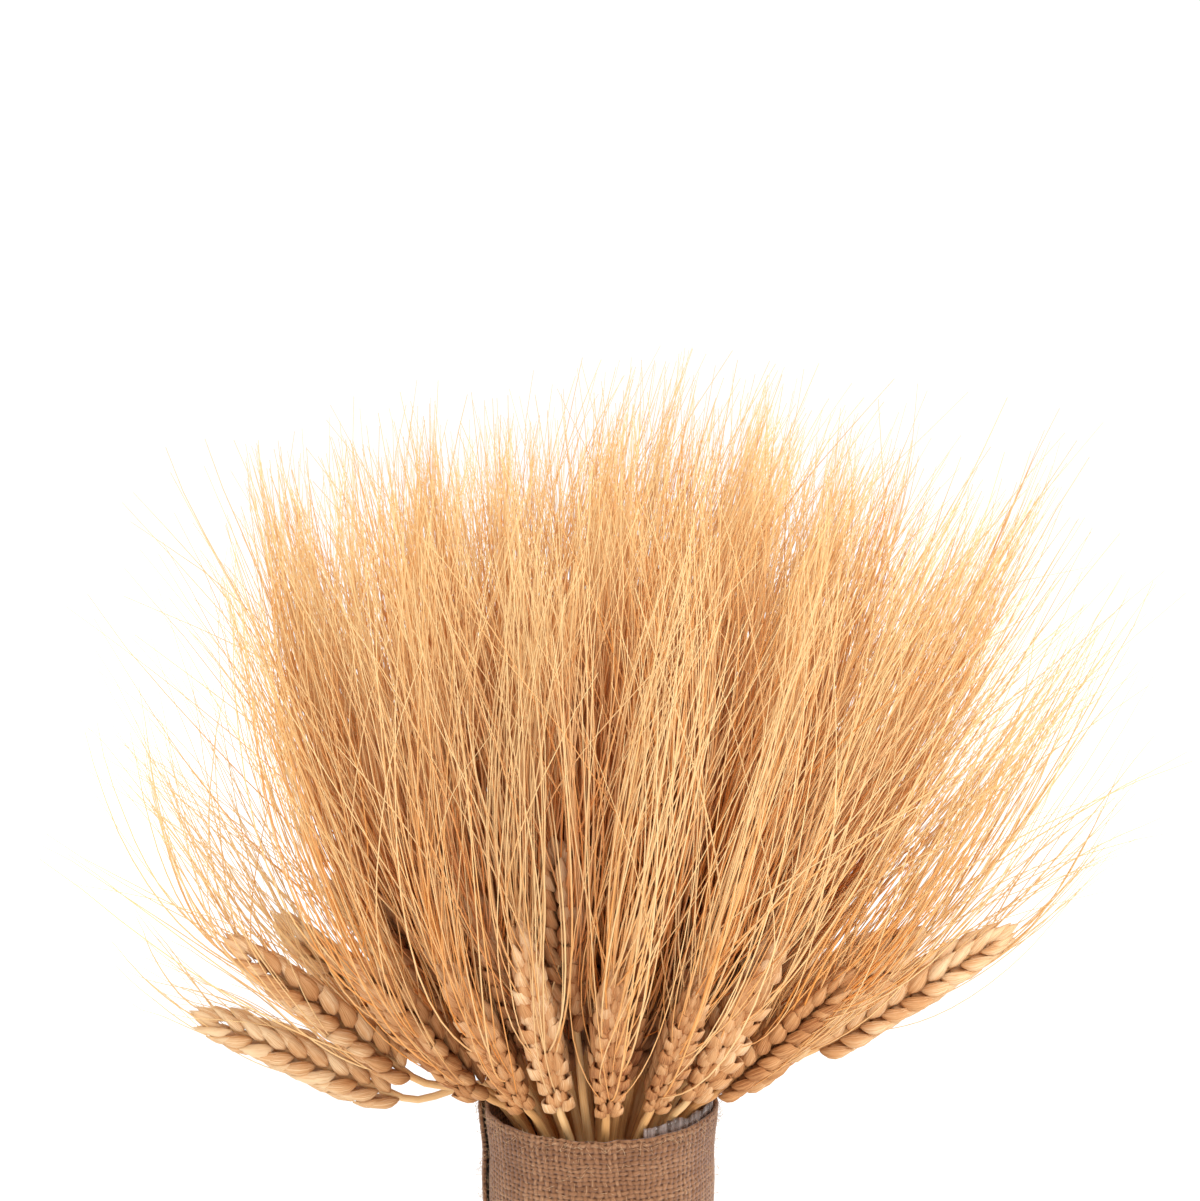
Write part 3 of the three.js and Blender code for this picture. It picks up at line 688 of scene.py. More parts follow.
# The tree that grows a stalk from its guide.
def makeWheatTree():
    tree, given, result = startTree("growWheat", [
        ("Stem sides", "Int"), ("Awn segments", "Int"), ("Awn tip", "Float"),
        ("Awn turn", "Float"), ("Crowding", "Float"), ("Wobble", "Float"), ("Curl", "Float"),
        ("Seed", "Float"),
        ("Lemma", "Object"), ("Glume", "Object"),
        ("Stem finish", "Material"), ("Husk finish", "Material"), ("Awn finish", "Material"),
    ])
    part = readAttribute(tree, "part", "INT")

    def only(name):
        return addNode(tree, "FunctionNodeCompare", {2: part, 3: partNames[name]},
                       data_type="INT", operation="EQUAL").outputs[0]

    def split(name):
        made = addNode(tree, "GeometryNodeSeparateGeometry",
                       {"Geometry": given.outputs["Geometry"], "Selection": only(name)})
        return made.outputs["Selection"]

    girth = readAttribute(tree, "girth")

    # Stem: a ridged tube along the chain.
    chain = addNode(tree, "GeometryNodeMeshToCurve", {"Mesh": split("stem")}).outputs[0]
    length = addNode(tree, "GeometryNodeSplineParameter").outputs["Length"]
    chain = storeAttribute(tree, chain, "along", length)
    ring = addNode(tree, "GeometryNodeCurvePrimitiveCircle",
                   {"Resolution": given.outputs["Stem sides"], "Radius": 1}).outputs["Curve"]
    spot = addNode(tree, "GeometryNodeInputPosition").outputs[0]
    ring = storeAttribute(tree, ring, "round", spot, "FLOAT_VECTOR")
    tube = addNode(tree, "GeometryNodeCurveToMesh",
                   {"Curve": chain, "Profile Curve": ring, "Scale": girth, "Fill Caps": True})
    lift = addNode(tree, "ShaderNodeCombineXYZ", {"Z": readAttribute(tree, "along")}).outputs[0]
    grain = vectorMaths(tree, "ADD", readAttribute(tree, "round", "FLOAT_VECTOR"), lift)
    tube = storeAttribute(tree, tube.outputs["Mesh"], "grain", grain, "FLOAT_VECTOR")
    tube = addNode(tree, "GeometryNodeSetMaterial",
                   {"Geometry": tube, "Material": given.outputs["Stem finish"]}).outputs[0]

    # Husks: the unit shapes on their points.
    turned = addNode(tree, "FunctionNodeEulerToRotation",
                     {"Euler": readAttribute(tree, "turn", "FLOAT_VECTOR")}).outputs[0]
    husks = []
    for name, label in (("lemma", "Lemma"), ("glume", "Glume")):
        shape = addNode(tree, "GeometryNodeObjectInfo", {"Object": given.outputs[label]})
        husks.append(addNode(tree, "GeometryNodeInstanceOnPoints", {
            "Points": split(name), "Instance": shape.outputs["Geometry"], "Rotation": turned,
            "Scale": readAttribute(tree, "size", "FLOAT_VECTOR")}).outputs[0])
    joinHusks = tree.nodes.new("GeometryNodeJoinGeometry")
    for husk in husks:
        tree.links.new(husk, joinHusks.inputs[0])
    husked = addNode(tree, "GeometryNodeRealizeInstances", {"Geometry": joinHusks.outputs[0]})
    husked = addNode(tree, "GeometryNodeSetMaterial", {
        "Geometry": husked.outputs[0], "Material": given.outputs["Husk finish"]}).outputs[0]

    # Awns: a line on each point, bent from the husk's direction into the flow of the bundle.
    count = maths(tree, "ADD", given.outputs["Awn segments"], 1)
    line = addNode(tree, "GeometryNodeCurvePrimitiveLine", {"Start": (0, 0, 0), "End": (0, 0, 1)})
    line = addNode(tree, "GeometryNodeResampleCurve", {"Curve": line.outputs[0], "Count": count})
    share = addNode(tree, "GeometryNodeSplineParameter").outputs["Factor"]
    share = maths(tree, "POWER", share, given.outputs["Crowding"])  # short pieces near the husk
    line = storeAttribute(tree, line.outputs[0], "along", share)
    lift = addNode(tree, "ShaderNodeCombineXYZ", {"Z": readAttribute(tree, "along")}).outputs[0]
    line = addNode(tree, "GeometryNodeSetPosition", {"Geometry": line, "Position": lift}).outputs[0]
    lines = addNode(tree, "GeometryNodeInstanceOnPoints", {"Points": split("awn"), "Instance": line})
    lines = addNode(tree, "GeometryNodeRealizeInstances", {"Geometry": lines.outputs[0]}).outputs[0]
    along = readAttribute(tree, "along")
    reach = readAttribute(tree, "reach")
    root = vectorMaths(tree, "SUBTRACT", addNode(tree, "GeometryNodeInputPosition").outputs[0],
                       addNode(tree, "ShaderNodeCombineXYZ", {"Z": along}).outputs[0])
    turnIn = given.outputs["Awn turn"]
    fade = maths(tree, "EXPONENT", maths(tree, "DIVIDE", maths(tree, "MULTIPLY", along, -1), turnIn))
    early = maths(tree, "MULTIPLY", turnIn, maths(tree, "SUBTRACT", 1, fade))
    late = maths(tree, "SUBTRACT", along, early)
    bulge = maths(tree, "MULTIPLY", 4, maths(tree, "MULTIPLY", along, maths(tree, "SUBTRACT", 1, along)))
    path = vectorMaths(tree, "SCALE", readAttribute(tree, "leaves", "FLOAT_VECTOR"), early)
    path = vectorMaths(tree, "ADD", path, vectorMaths(
        tree, "SCALE", readAttribute(tree, "flow", "FLOAT_VECTOR"), late))
    path = vectorMaths(tree, "ADD", path, vectorMaths(
        tree, "SCALE", readAttribute(tree, "bow", "FLOAT_VECTOR"), bulge))
    path = vectorMaths(tree, "SCALE", path, reach)

    def wave(frequency, shift, strength):
        where = addNode(tree, "ShaderNodeCombineXYZ", {
            "X": maths(tree, "MULTIPLY", readAttribute(tree, "girth"), 3.1e6),  # sets awns apart
            "Y": maths(tree, "MULTIPLY", along, frequency),
            "Z": maths(tree, "ADD", given.outputs["Seed"], shift)}).outputs[0]
        noisy = addNode(tree, "ShaderNodeTexNoise", {"Vector": where, "Scale": 1, "Detail": 1})
        centred = vectorMaths(tree, "SUBTRACT", noisy.outputs["Color"], (0.5, 0.5, 0.5))
        return vectorMaths(tree, "SCALE", centred, strength)

    wobble = wave(1.6, 0, maths(tree, "MULTIPLY", along, given.outputs["Wobble"]))
    curl = wave(5, 7.5, maths(tree, "MULTIPLY", maths(tree, "POWER", along, 4), given.outputs["Curl"]))
    placed = vectorMaths(tree, "ADD", vectorMaths(tree, "ADD", root, path),
                         vectorMaths(tree, "ADD", wobble, curl))
    lines = addNode(tree, "GeometryNodeSetPosition", {"Geometry": lines, "Position": placed}).outputs[0]
    # The awns' painted shade is strongest at the root and fades out towards the tip.
    left = maths(tree, "SUBTRACT", 1, along)
    faded = maths(tree, "MULTIPLY", readAttribute(tree, "dark"), maths(tree, "POWER", left, 1.1))
    lines = storeAttribute(tree, lines, "dark", faded)
    taper = maths(tree, "SUBTRACT", 1, maths(tree, "MULTIPLY", maths(tree, "POWER", along, 1.8), maths(
        tree, "SUBTRACT", 1, given.outputs["Awn tip"])))
    ring = addNode(tree, "GeometryNodeCurvePrimitiveCircle", {"Resolution": 3, "Radius": 1})
    hair = addNode(tree, "GeometryNodeCurveToMesh", {
        "Curve": lines, "Profile Curve": ring.outputs["Curve"],
        "Scale": maths(tree, "MULTIPLY", girth, taper), "Fill Caps": True}).outputs["Mesh"]
    grain = addNode(tree, "ShaderNodeCombineXYZ", {"Z": along}).outputs[0]
    hair = storeAttribute(tree, hair, "grain", grain, "FLOAT_VECTOR")
    hair = addNode(tree, "GeometryNodeSetMaterial",
                   {"Geometry": hair, "Material": given.outputs["Awn finish"]}).outputs[0]

    join = tree.nodes.new("GeometryNodeJoinGeometry")
    for geometry in (tube, husked, hair):
        tree.links.new(geometry, join.inputs[0])
    smooth = addNode(tree, "GeometryNodeSetShadeSmooth", {"Geometry": join.outputs[0]})
    tree.links.new(smooth.outputs[0], result.inputs[0])
    return tree


def growWheat():
    stalks = planStalks()
    tree = makeWheatTree()
    lemma, glume = unitHusk("lemma"), unitHusk("glume")
    values = {
        "Stem sides": stem["sides"], "Awn segments": awn["segments"], "Awn tip": awn["tipGirth"],
        "Awn turn": awn["turnIn"], "Crowding": awn["crowding"], "Wobble": awn["wobble"] * mm,
        "Curl": awn["curl"] * mm, "Seed": awn["seed"],
        "Lemma": lemma, "Glume": glume, "Stem finish": stemMaterial,
        "Husk finish": huskMaterial, "Awn finish": awnMaterial,
    }
    kinds = {"part": "INT", "girth": "FLOAT", "dark": "FLOAT", "tint": "FLOAT", "reach": "FLOAT",
             "turn": "FLOAT_VECTOR", "size": "FLOAT_VECTOR", "leaves": "FLOAT_VECTOR",
             "flow": "FLOAT_VECTOR", "bow": "FLOAT_VECTOR"}
    guides = []
    for stalk in stalks:
        rows = growGuide(stalk, cadBox)
        stems = sum(row["part"] == 0 for row in rows)
        guide = addPiece(f"guide_{stalk['number']:02d}", [row["place"] for row in rows], [],
                         [(i, i + 1) for i in range(stems - 1)])
        for name, kind in kinds.items():
            giveAttribute(guide.data, name, kind, [row[name] for row in rows])
        runTree(guide, tree, values)
        guides.append((stalk, guide))
    bpy.context.view_layer.update()
    total = 0
    for stalk, guide in guides:
        piece = toMesh(guide, f"wheat_{stalk['number']:02d}", keep=("grain", "tint", "dark", "hollowShade"))
        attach(piece, "root")
        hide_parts(f"stalk_{stalk['number']:02d}")
        total += sum(len(face.vertices) - 2 for face in piece.data.polygons)
    for _, guide in guides:
        bpy.data.objects.remove(guide)
    bpy.data.objects.remove(lemma)
    bpy.data.objects.remove(glume)
    print("wheat grown,", total, "triangles")


growWheat()


# Burlap wrap, a woven strip rolled round the stems with a lap.
wrap = {
    "top": 168, "height": 110, "topRadius": 42.4, "taper": 0.04, "thickness": 1.15,
    "pinch": (152, 9, 0.8),  # height, reach up and down, depth
    "lap": (-152, -82), "lapStep": 1.3, "tuck": 1.0,  # the lap lies outside, the other end under it
    "inset": 0.75, "lining": 0.4, "ripple": 0.35, "fray": 0.7, "frayWaves": (60, 240),
    "threadPitch": (2.35, 1.78), "perThread": 3, "relief": 0.7, "skew": 0.05,
    "halfWarp": 0.36, "halfWeft": 0.42, "crossing": 0.3, "uneven": (0.55, 0.9), "wobble": 1.7,
    "seed": 2.0,
    "stops": [(0.1, linear(100, 61, 37)), (0.5, linear(148, 104, 72)), (0.9, linear(198, 154, 116))],
    "holeShadeColour": linear(82, 48, 27), "roughness": 0.92, "gloss": 0.2, "sheen": 0.25,
    "ownTone": 0.26, "fibreTone": 0.75, "patchTone": 0.35, "lowerTone": 0.2,
}
fibre = {
    "density": 50000.0, "atRim": 6.0, "rimRows": 2, "length": 3.2, "girth": 0.06, "seed": 5,
    "stops": [(0.3, linear(176, 138, 100)), (0.7, linear(222, 190, 150))], "roughness": 0.8,
}


def wrapRadius(height):
    level, spread, depth = wrap["pinch"]
    pinched = depth * math.exp(-((height - level) / spread) ** 2)
    return wrap["topRadius"] - wrap["taper"] * (wrap["top"] - height) - pinched


def weaveHeight(tree, across, up):  # 0 in a hole to 1 on top of a thread, and the warp's share
    uneven = addNode(tree, "ShaderNodeTexNoise", {
        "Vector": addNode(tree, "ShaderNodeCombineXYZ", {"X": across, "Y": up}).outputs[0],
        "Scale": 0.7, "Detail": 1}).outputs["Fac"]
    least, more = wrap["uneven"]
    uneven = maths(tree, "ADD", least, maths(tree, "MULTIPLY", uneven, more))

    def threads(place, own, crossed, half):  # round threads that pass over and under each other
        half = maths(tree, "MULTIPLY", uneven, half)
        offCentre = maths(tree, "DIVIDE", maths(tree, "SUBTRACT", place, own), half)
        squared = maths(tree, "MULTIPLY", offCentre, offCentre)
        left = maths(tree, "MAXIMUM", 0, maths(tree, "SUBTRACT", 1, squared))
        wave = maths(tree, "MULTIPLY", maths(tree, "COSINE", maths(tree, "MULTIPLY", crossed, math.pi)),
                     maths(tree, "COSINE", maths(tree, "MULTIPLY", own, math.pi)))
        return maths(tree, "SQRT", left), maths(tree, "MULTIPLY", wave, wrap["crossing"])

    warp, warpWave = threads(across, maths(tree, "ROUND", across), up, wrap["halfWarp"])
    weft, weftWave = threads(up, maths(tree, "ROUND", up), across, wrap["halfWeft"])
    base = 1 - wrap["crossing"]
    warpTop = maths(tree, "MULTIPLY", warp, maths(tree, "ADD", base, warpWave))
    weftTop = maths(tree, "MULTIPLY", weft, maths(tree, "SUBTRACT", base, weftWave))
    return maths(tree, "MAXIMUM", warpTop, weftTop), maths(tree, "GREATER_THAN", warpTop, weftTop)


def makeBurlap():
    material, tree, shader = startMaterial("burlap")
    thread = addNode(tree, "ShaderNodeAttribute", attribute_name="thread").outputs["Vector"]
    split = addNode(tree, "ShaderNodeSeparateXYZ", {"Vector": thread})
    height, isWarp = weaveHeight(tree, split.outputs["X"], split.outputs["Y"])

    def eachThread(place, shift):  # every thread has a shade of its own
        return addNode(tree, "ShaderNodeTexWhiteNoise", {"W": maths(tree, "ADD", shift, maths(
            tree, "ROUND", place))}, noise_dimensions="1D").outputs["Value"]

    def fibresAlong(stretch):
        moved = vectorMaths(tree, "MULTIPLY", thread, stretch)
        return addNode(tree, "ShaderNodeTexNoise",
                       {"Vector": moved, "Scale": 1, "Detail": 3, "Roughness": 0.65}).outputs["Fac"]

    def byThread(ofWarp, ofWeft):
        return addNode(tree, "ShaderNodeMix", {0: isWarp, 2: ofWeft, 3: ofWarp}).outputs[0]

    own = byThread(eachThread(split.outputs["X"], 0.5), eachThread(split.outputs["Y"], 500.5))
    fibres = byThread(fibresAlong((9, 1.6, 1)), fibresAlong((1.6, 9, 1)))
    patches = addNode(tree, "ShaderNodeTexNoise",
                      {"Vector": thread, "Scale": 0.12, "Detail": 2}).outputs["Fac"]
    tone = maths(tree, "ADD", maths(tree, "MULTIPLY", own, wrap["ownTone"]),
                 maths(tree, "MULTIPLY", fibres, wrap["fibreTone"]))
    tone = maths(tree, "ADD", tone, maths(tree, "MULTIPLY", patches, wrap["patchTone"]))
    tone = maths(tree, "SUBTRACT", tone, wrap["lowerTone"])
    colour = ramp(tree, tone, wrap["stops"])
    # Painted shade: the holes between threads and the threads' rounded sides are darkened towards the
    # hole colour.
    gap = addNode(tree, "ShaderNodeMapRange", {"Value": height, "From Min": 0.1, "From Max": 0.85})
    mixed = addNode(tree, "ShaderNodeMix", {0: gap.outputs[0], 6: wrap["holeShadeColour"], 7: colour},
                    data_type="RGBA").outputs[2]
    tree.links.new(mixed, shader.inputs["Base Color"])
    shader.inputs["Roughness"].default_value = wrap["roughness"]
    shader.inputs["Specular IOR Level"].default_value = wrap["gloss"]
    shader.inputs["Sheen Weight"].default_value = wrap["sheen"]
    bumpFrom = maths(tree, "ADD", height, maths(tree, "MULTIPLY", fibres, 0.6))
    bump = addNode(tree, "ShaderNodeBump", {"Height": bumpFrom, "Strength": 0.6, "Distance": 0.0005})
    tree.links.new(bump.outputs["Normal"], shader.inputs["Normal"])
    return material


def makeWeaveTree():
    tree, given, result = startTree("weaveRelief", [
        ("Relief", "Float"), ("Wobble", "Float"), ("Seed", "Float"), ("Finish", "Material")])
    thread = readAttribute(tree, "thread", "FLOAT_VECTOR")
    shifted = vectorMaths(tree, "ADD", thread, addNode(
        tree, "ShaderNodeCombineXYZ", {"Z": given.outputs["Seed"]}).outputs[0])
    drift = addNode(tree, "ShaderNodeTexNoise", {"Vector": shifted, "Scale": 0.24, "Detail": 3})
    drift = vectorMaths(tree, "SUBTRACT", drift.outputs["Color"], (0.5, 0.5, 0.5))
    moved = vectorMaths(tree, "ADD", thread, vectorMaths(tree, "SCALE", drift, given.outputs["Wobble"]))
    geometry = storeAttribute(tree, given.outputs["Geometry"], "thread", moved, "FLOAT_VECTOR")
    split = addNode(tree, "ShaderNodeSeparateXYZ",
                    {"Vector": readAttribute(tree, "thread", "FLOAT_VECTOR")})
    height, _ = weaveHeight(tree, split.outputs["X"], split.outputs["Y"])
    lift = maths(tree, "MULTIPLY", maths(tree, "MULTIPLY", height, given.outputs["Relief"]),
                 readAttribute(tree, "outer"))
    normal = addNode(tree, "GeometryNodeInputNormal").outputs["Normal"]
    geometry = addNode(tree, "GeometryNodeSetPosition", {
        "Geometry": geometry, "Offset": vectorMaths(tree, "SCALE", normal, lift)}).outputs[0]
    geometry = addNode(tree, "GeometryNodeRealizeInstances", {"Geometry": geometry}).outputs[0]
    geometry = addNode(tree, "GeometryNodeSetShadeSmooth", {"Geometry": geometry}).outputs[0]
    geometry = addNode(tree, "GeometryNodeSetMaterial", {
        "Geometry": geometry, "Material": given.outputs["Finish"]}).outputs[0]
    tree.links.new(geometry, result.inputs[0])
    return tree


def wrapPoint(bearing, radius, height):
    turn = math.radians(bearing)
    return Vector((radius * math.sin(turn), -radius * math.cos(turn), height)) * mm


def rollWrap():
    lapStart, lapEnd = wrap["lap"]
    total = 360 + lapEnd - lapStart
    around = math.radians(total) * wrap["topRadius"]
    fine = wrap["perThread"]
    columns = round(around / wrap["threadPitch"][0]) * fine
    rows = round(wrap["height"] / wrap["threadPitch"][1]) * fine
    low = wrap["top"] - wrap["height"]

    def surface(column, row, inner):
        share = column / columns
        bearing = lapStart + total * share
        height = low + wrap["height"] * row / rows
        long, short = wrap["frayWaves"]
        frayed = wrap["fray"] * noise.noise((share * long, 3.1, 0))
        frayed += wrap["fray"] * noise.noise((share * short, 7.7, 0))
        rim = frayed * (row / rows) ** 8
        onLap = smoothStep(bearing, lapStart + 360 - 14, lapStart + 360 + 6)
        beneath = 1 - smoothStep(bearing, lapEnd - 2, lapEnd + 12)
        ripple = wrap["ripple"] * noise.noise((share * 9, height * 0.02, 5.0))
        radius = wrapRadius(height) - wrap["inset"] + ripple
        radius += wrap["lapStep"] * onLap - wrap["tuck"] * beneath
        if inner:
            radius -= wrap["thickness"] - wrap["lining"]
        return wrapPoint(bearing, radius, height + rim)

    points, thread, outer, faces = [], [], [], []
    for column in range(columns + 1):
        for row in range(rows + 1):
            points.append(surface(column, row, False))
            thread.append((column / fine + wrap["skew"] * row / fine, row / fine, 0))
            edge = min(row, rows - row, column, columns - column)
            outer.append(min(1, 0.35 + edge / 2))

    def outerAt(column, row):
        return column * (rows + 1) + row

    for column in range(columns):
        for row in range(rows):
            faces.append((outerAt(column, row), outerAt(column + 1, row),
                          outerAt(column + 1, row + 1), outerAt(column, row + 1)))
    first = len(points)
    coarse = fine * 2
    innerColumns, innerRows = columns // coarse, rows // coarse
    columnStops = [round(columns * i / innerColumns) for i in range(innerColumns + 1)]
    rowStops = [round(rows * i / innerRows) for i in range(innerRows + 1)]
    for column in columnStops:
        for row in rowStops:
            points.append(surface(column, row, True))
            thread.append((column / fine + wrap["skew"] * row / fine, row / fine, 0))
            outer.append(0)

    def innerAt(i, j):
        return first + i * (innerRows + 1) + j

    for i in range(innerColumns):
        for j in range(innerRows):
            faces.append((innerAt(i, j), innerAt(i, j + 1), innerAt(i + 1, j + 1), innerAt(i + 1, j)))
    for i in range(innerColumns):  # the rims close the two faces
        span = range(columnStops[i], columnStops[i + 1] + 1)
        faces.append([outerAt(c, 0) for c in reversed(span)] + [innerAt(i, 0), innerAt(i + 1, 0)])
        faces.append([outerAt(c, rows) for c in span]
                     + [innerAt(i + 1, innerRows), innerAt(i, innerRows)])
    for j in range(innerRows):
        span = range(rowStops[j], rowStops[j + 1] + 1)
        faces.append([outerAt(0, r) for r in span] + [innerAt(0, j + 1), innerAt(0, j)])
        faces.append([outerAt(columns, r) for r in reversed(span)]
                     + [innerAt(innerColumns, j), innerAt(innerColumns, j + 1)])
    return points, faces, thread, outer


def makeFuzzTree():
    tree, given, result = startTree("fuzz", [
        ("Density", "Float"), ("Rim row", "Float"), ("At rim", "Float"), ("Length", "Float"),
        ("Girth", "Float"), ("Seed", "Int"), ("Finish", "Material")])
    outside = maths(tree, "GREATER_THAN", readAttribute(tree, "outer"), 0.5)
    row = addNode(tree, "ShaderNodeSeparateXYZ",
                  {"Vector": readAttribute(tree, "thread", "FLOAT_VECTOR")}).outputs["Y"]
    atRim = maths(tree, "GREATER_THAN", row, given.outputs["Rim row"])
    more = maths(tree, "ADD", 1, maths(tree, "MULTIPLY", atRim, given.outputs["At rim"]))
    spots = addNode(tree, "GeometryNodeDistributePointsOnFaces", {
        "Mesh": given.outputs["Geometry"], "Selection": outside,
        "Density": maths(tree, "MULTIPLY", given.outputs["Density"], more),
        "Seed": given.outputs["Seed"]})
    hair = addNode(tree, "GeometryNodeCurveQuadraticBezier", {
        "Resolution": 5, "Start": (0, 0, -0.1), "Middle": (0.1, 0.1, 0.6), "End": (0.7, 0.25, 0.75)})
    spin = addNode(tree, "FunctionNodeRandomValue", {
        "Min": (-0.5, -0.5, -3.14), "Max": (0.5, 0.5, 3.14), "Seed": 11}, data_type="FLOAT_VECTOR")
    turned = addNode(tree, "FunctionNodeRotateRotation", {
        0: spots.outputs["Rotation"],
        1: addNode(tree, "FunctionNodeEulerToRotation", {0: spin.outputs[0]}).outputs[0]},
        rotation_space="LOCAL")
    grow = addNode(tree, "FunctionNodeRandomValue", {2: 0.4, 3: 1.0, "Seed": 12}, data_type="FLOAT")
    size = maths(tree, "MULTIPLY", grow.outputs[1], given.outputs["Length"])
    hairs = addNode(tree, "GeometryNodeInstanceOnPoints", {
        "Points": spots.outputs["Points"], "Instance": hair.outputs[0],
        "Rotation": turned.outputs[0], "Scale": size})
    hairs = addNode(tree, "GeometryNodeRealizeInstances", {"Geometry": hairs.outputs[0]})
    ring = addNode(tree, "GeometryNodeCurvePrimitiveCircle", {"Resolution": 3, "Radius": 1})
    mesh = addNode(tree, "GeometryNodeCurveToMesh", {
        "Curve": hairs.outputs[0], "Profile Curve": ring.outputs["Curve"],
        "Scale": given.outputs["Girth"], "Fill Caps": True})
    mesh = addNode(tree, "GeometryNodeSetMaterial", {
        "Geometry": mesh.outputs["Mesh"], "Material": given.outputs["Finish"]})
    tree.links.new(mesh.outputs[0], result.inputs[0])
    return tree


def makeWrap():
    points, faces, thread, outer = rollWrap()
    guide = addPiece("guideWrap", points, faces)
    giveAttribute(guide.data, "thread", "FLOAT_VECTOR", thread)
    giveAttribute(guide.data, "outer", "FLOAT", outer)
    burlap = makeBurlap()
    runTree(guide, makeWeaveTree(), {
        "Relief": wrap["relief"] * mm, "Wobble": wrap["wobble"], "Seed": wrap["seed"],
        "Finish": burlap})
    bpy.context.view_layer.update()
    piece = toMesh(guide, "burlapWrap", keep=("thread", "outer"))
    bpy.data.objects.remove(guide)
    fuzzGuide = piece.copy()
    bpy.context.scene.collection.objects.link(fuzzGuide)
    fuzzFinish, tree, shader = startMaterial("burlapFibre")
    spot = addNode(tree, "ShaderNodeTexCoord").outputs["Object"]
    patches = addNode(tree, "ShaderNodeTexNoise", {"Vector": spot, "Scale": 300}).outputs["Fac"]
    tree.links.new(ramp(tree, patches, fibre["stops"]), shader.inputs["Base Color"])
    shader.inputs["Roughness"].default_value = fibre["roughness"]
    rimRow = wrap["height"] / wrap["threadPitch"][1] - fibre["rimRows"]
    runTree(fuzzGuide, makeFuzzTree(), {
        "Density": fibre["density"], "Rim row": rimRow, "At rim": fibre["atRim"],
        "Length": fibre["length"] * mm, "Girth": fibre["girth"] * mm, "Seed": fibre["seed"],
        "Finish": fuzzFinish})
    bpy.context.view_layer.update()
    fuzz = toMesh(fuzzGuide, "burlapFuzz")
    bpy.data.objects.remove(fuzzGuide)
    for one in (piece, fuzz):
        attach(one, "root")
    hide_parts("burlap_wrap")
    print("wrap woven,", len(piece.data.polygons), "faces,", len(fuzz.data.polygons), "fuzz faces")


makeWrap()


# Clear film, a pleated strip between the stems and the burlap.
film = {
    "top": 171.6, "height": 52, "thickness": 0.12, "bearings": (22, 84), "gap": 2.2,
    "pleats": 17, "pleatDepth": 0.55, "pleatDrift": 0.02, "rimWave": 1.5, "steps": (110, 20),
    "stops": [(0.38, linear(122, 96, 82)), (0.62, linear(198, 176, 166))],
    "streaks": (420, 420, 60),  # down the pleats
    "roughness": (0.04, 0.2), "clearness": 0.6, "bending": 1.4,
}


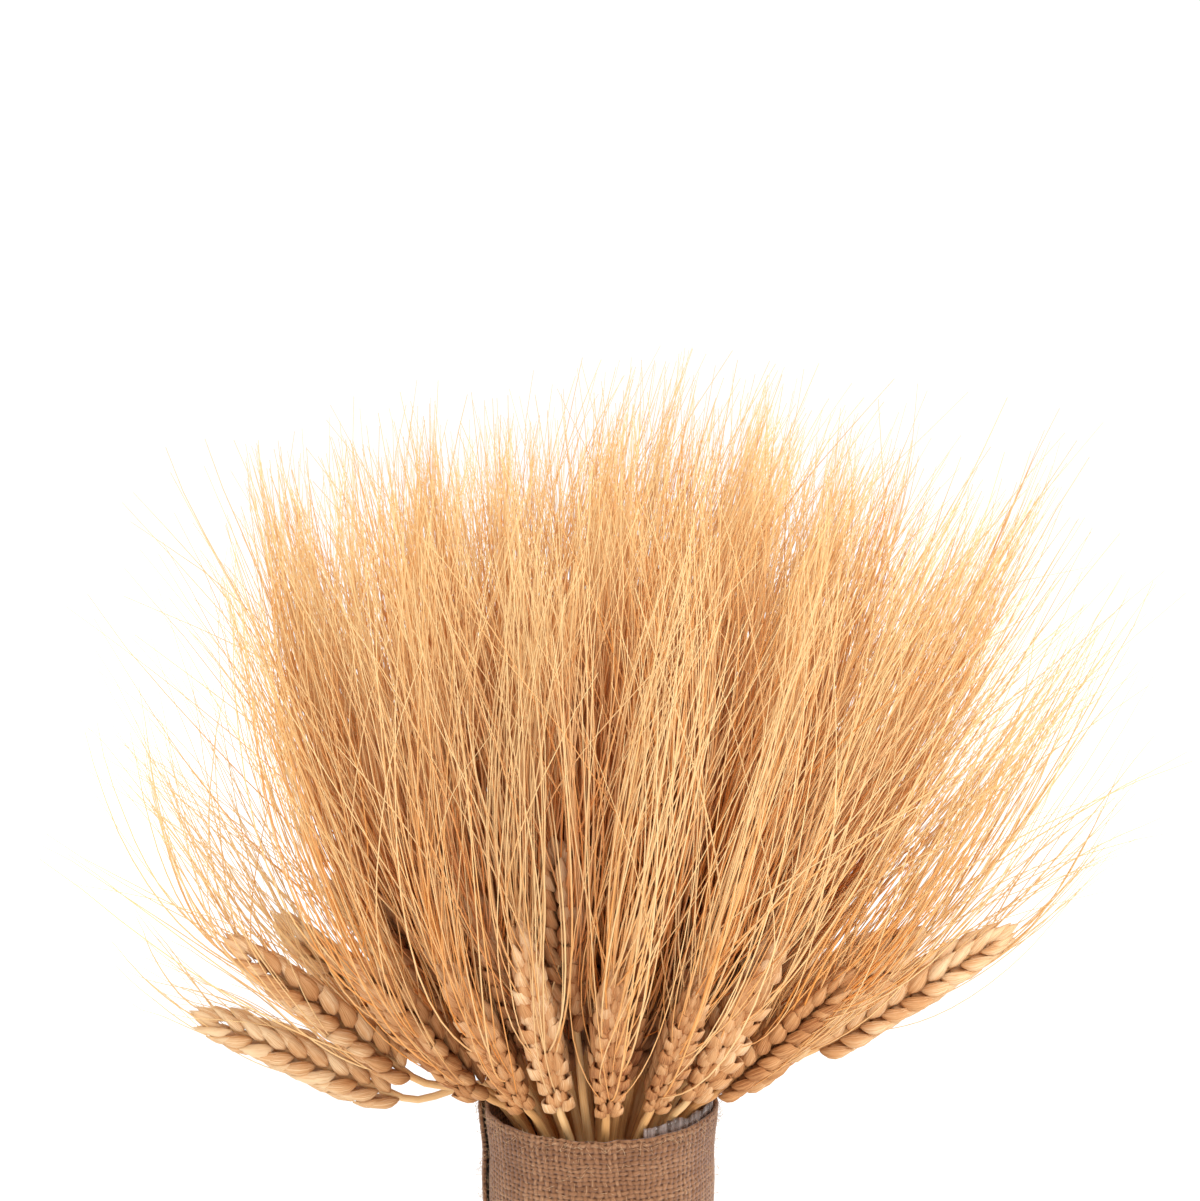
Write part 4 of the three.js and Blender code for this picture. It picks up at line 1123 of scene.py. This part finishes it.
def makeFilm():
    columns, rows = film["steps"]
    first, last = film["bearings"]
    points, faces = [], []
    for inner in (0, 1):
        for column in range(columns + 1):
            share = column / columns
            for row in range(rows + 1):
                up = row / rows
                height = film["top"] - film["height"] * (1 - up)
                height += film["rimWave"] * up ** 6 * noise.noise((share * 8, 8.3, 0))
                drift = noise.noise((share * 7, up * 2.5, 1.7))
                pleat = math.sin(2 * math.pi * film["pleats"] * (share + film["pleatDrift"] * drift))
                fold = film["pleatDepth"] * pleat * (0.5 + noise.noise((share * 9, up * 3, 4.4)))
                radius = wrapRadius(min(height, wrap["top"])) - film["gap"] + fold
                radius -= film["thickness"] * inner
                points.append(wrapPoint(mix(first, last, share), radius, height))
    size = (columns + 1) * (rows + 1)

    def at(column, row, inner):
        return inner * size + column * (rows + 1) + row

    for column in range(columns):
        for row in range(rows):
            quad = [(column, row), (column + 1, row), (column + 1, row + 1), (column, row + 1)]
            faces.append([at(c, r, 0) for c, r in quad])
            faces.append([at(c, r, 1) for c, r in reversed(quad)])
        beside = column + 1
        faces.append([at(column, 0, 0), at(column, 0, 1), at(beside, 0, 1), at(beside, 0, 0)])
        faces.append([at(column, rows, 0), at(beside, rows, 0), at(beside, rows, 1), at(column, rows, 1)])
    for row in range(rows):
        above = row + 1
        faces.append([at(0, row, 0), at(0, above, 0), at(0, above, 1), at(0, row, 1)])
        faces.append([at(columns, row, 0), at(columns, row, 1),
                      at(columns, above, 1), at(columns, above, 0)])
    piece = addPiece("clearFilm", points, faces)
    for face in piece.data.polygons:
        face.use_smooth = True
    material, tree, shader = startMaterial("clearFilm")
    spot = addNode(tree, "ShaderNodeTexCoord").outputs["Object"]
    spot = vectorMaths(tree, "MULTIPLY", spot, film["streaks"])
    haze = addNode(tree, "ShaderNodeTexNoise", {"Vector": spot, "Scale": 1, "Detail": 3}).outputs["Fac"]
    tree.links.new(ramp(tree, haze, film["stops"]), shader.inputs["Base Color"])
    least, more = film["roughness"]
    tree.links.new(maths(tree, "ADD", least, maths(tree, "MULTIPLY", haze, more)),
                   shader.inputs["Roughness"])
    shader.inputs["Transmission Weight"].default_value = film["clearness"]
    shader.inputs["IOR"].default_value = film["bending"]
    piece.data.materials.append(material)
    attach(piece, "root")
    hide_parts("clear_film")
    print("film folded")


makeFilm()


# Stem tie, an elastic wound a few times round the stems inside the wrap.
tie = {
    "turns": 4, "radius": 17.9, "bandGirth": 0.75, "height": 7.4, "sides": 8, "steps": 60,
    "lift": 0.7, "bulge": 0.25,
    "stops": [(0.3, linear(160, 112, 66)), (0.7, linear(200, 156, 104))], "roughness": 0.7,
}


def makeTie():
    points, faces = [], []
    for turn in range(tie["turns"]):
        first = len(points)
        level = mix(-0.5, 0.5, turn / (tie["turns"] - 1)) * tie["height"]
        for step in range(tie["steps"]):
            angle = 2 * math.pi * step / tie["steps"]
            lift = level + tie["lift"] * math.sin(angle + turn * 1.9)
            radius = tie["radius"] + tie["bulge"] * math.sin(3 * angle + turn)
            out = Vector((math.cos(angle), math.sin(angle), 0))
            centre = out * radius + Vector((0, 0, bundle["waistHeight"] + lift))
            for i in range(tie["sides"]):
                around = 2 * math.pi * i / tie["sides"]
                points.append((centre + (out * math.cos(around) + Vector((0, 0, math.sin(around))))
                               * tie["bandGirth"]) * mm)
        for step in range(tie["steps"]):
            for i in range(tie["sides"]):
                a = first + step * tie["sides"] + i
                b = first + step * tie["sides"] + (i + 1) % tie["sides"]
                nextStep = first + ((step + 1) % tie["steps"]) * tie["sides"]
                faces.append((a, nextStep + i, nextStep + (i + 1) % tie["sides"], b))
    piece = addPiece("stemTie", points, faces)
    for face in piece.data.polygons:
        face.use_smooth = True
    material, tree, shader = startMaterial("elastic")
    spot = addNode(tree, "ShaderNodeTexCoord").outputs["Object"]
    streaks = addNode(tree, "ShaderNodeTexNoise",
                      {"Vector": spot, "Scale": 400, "Detail": 2}).outputs["Fac"]
    tree.links.new(ramp(tree, streaks, tie["stops"]), shader.inputs["Base Color"])
    shader.inputs["Roughness"].default_value = tie["roughness"]
    piece.data.materials.append(material)
    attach(piece, "root")
    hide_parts("stem_tie")
    print("tie wound")


makeTie()
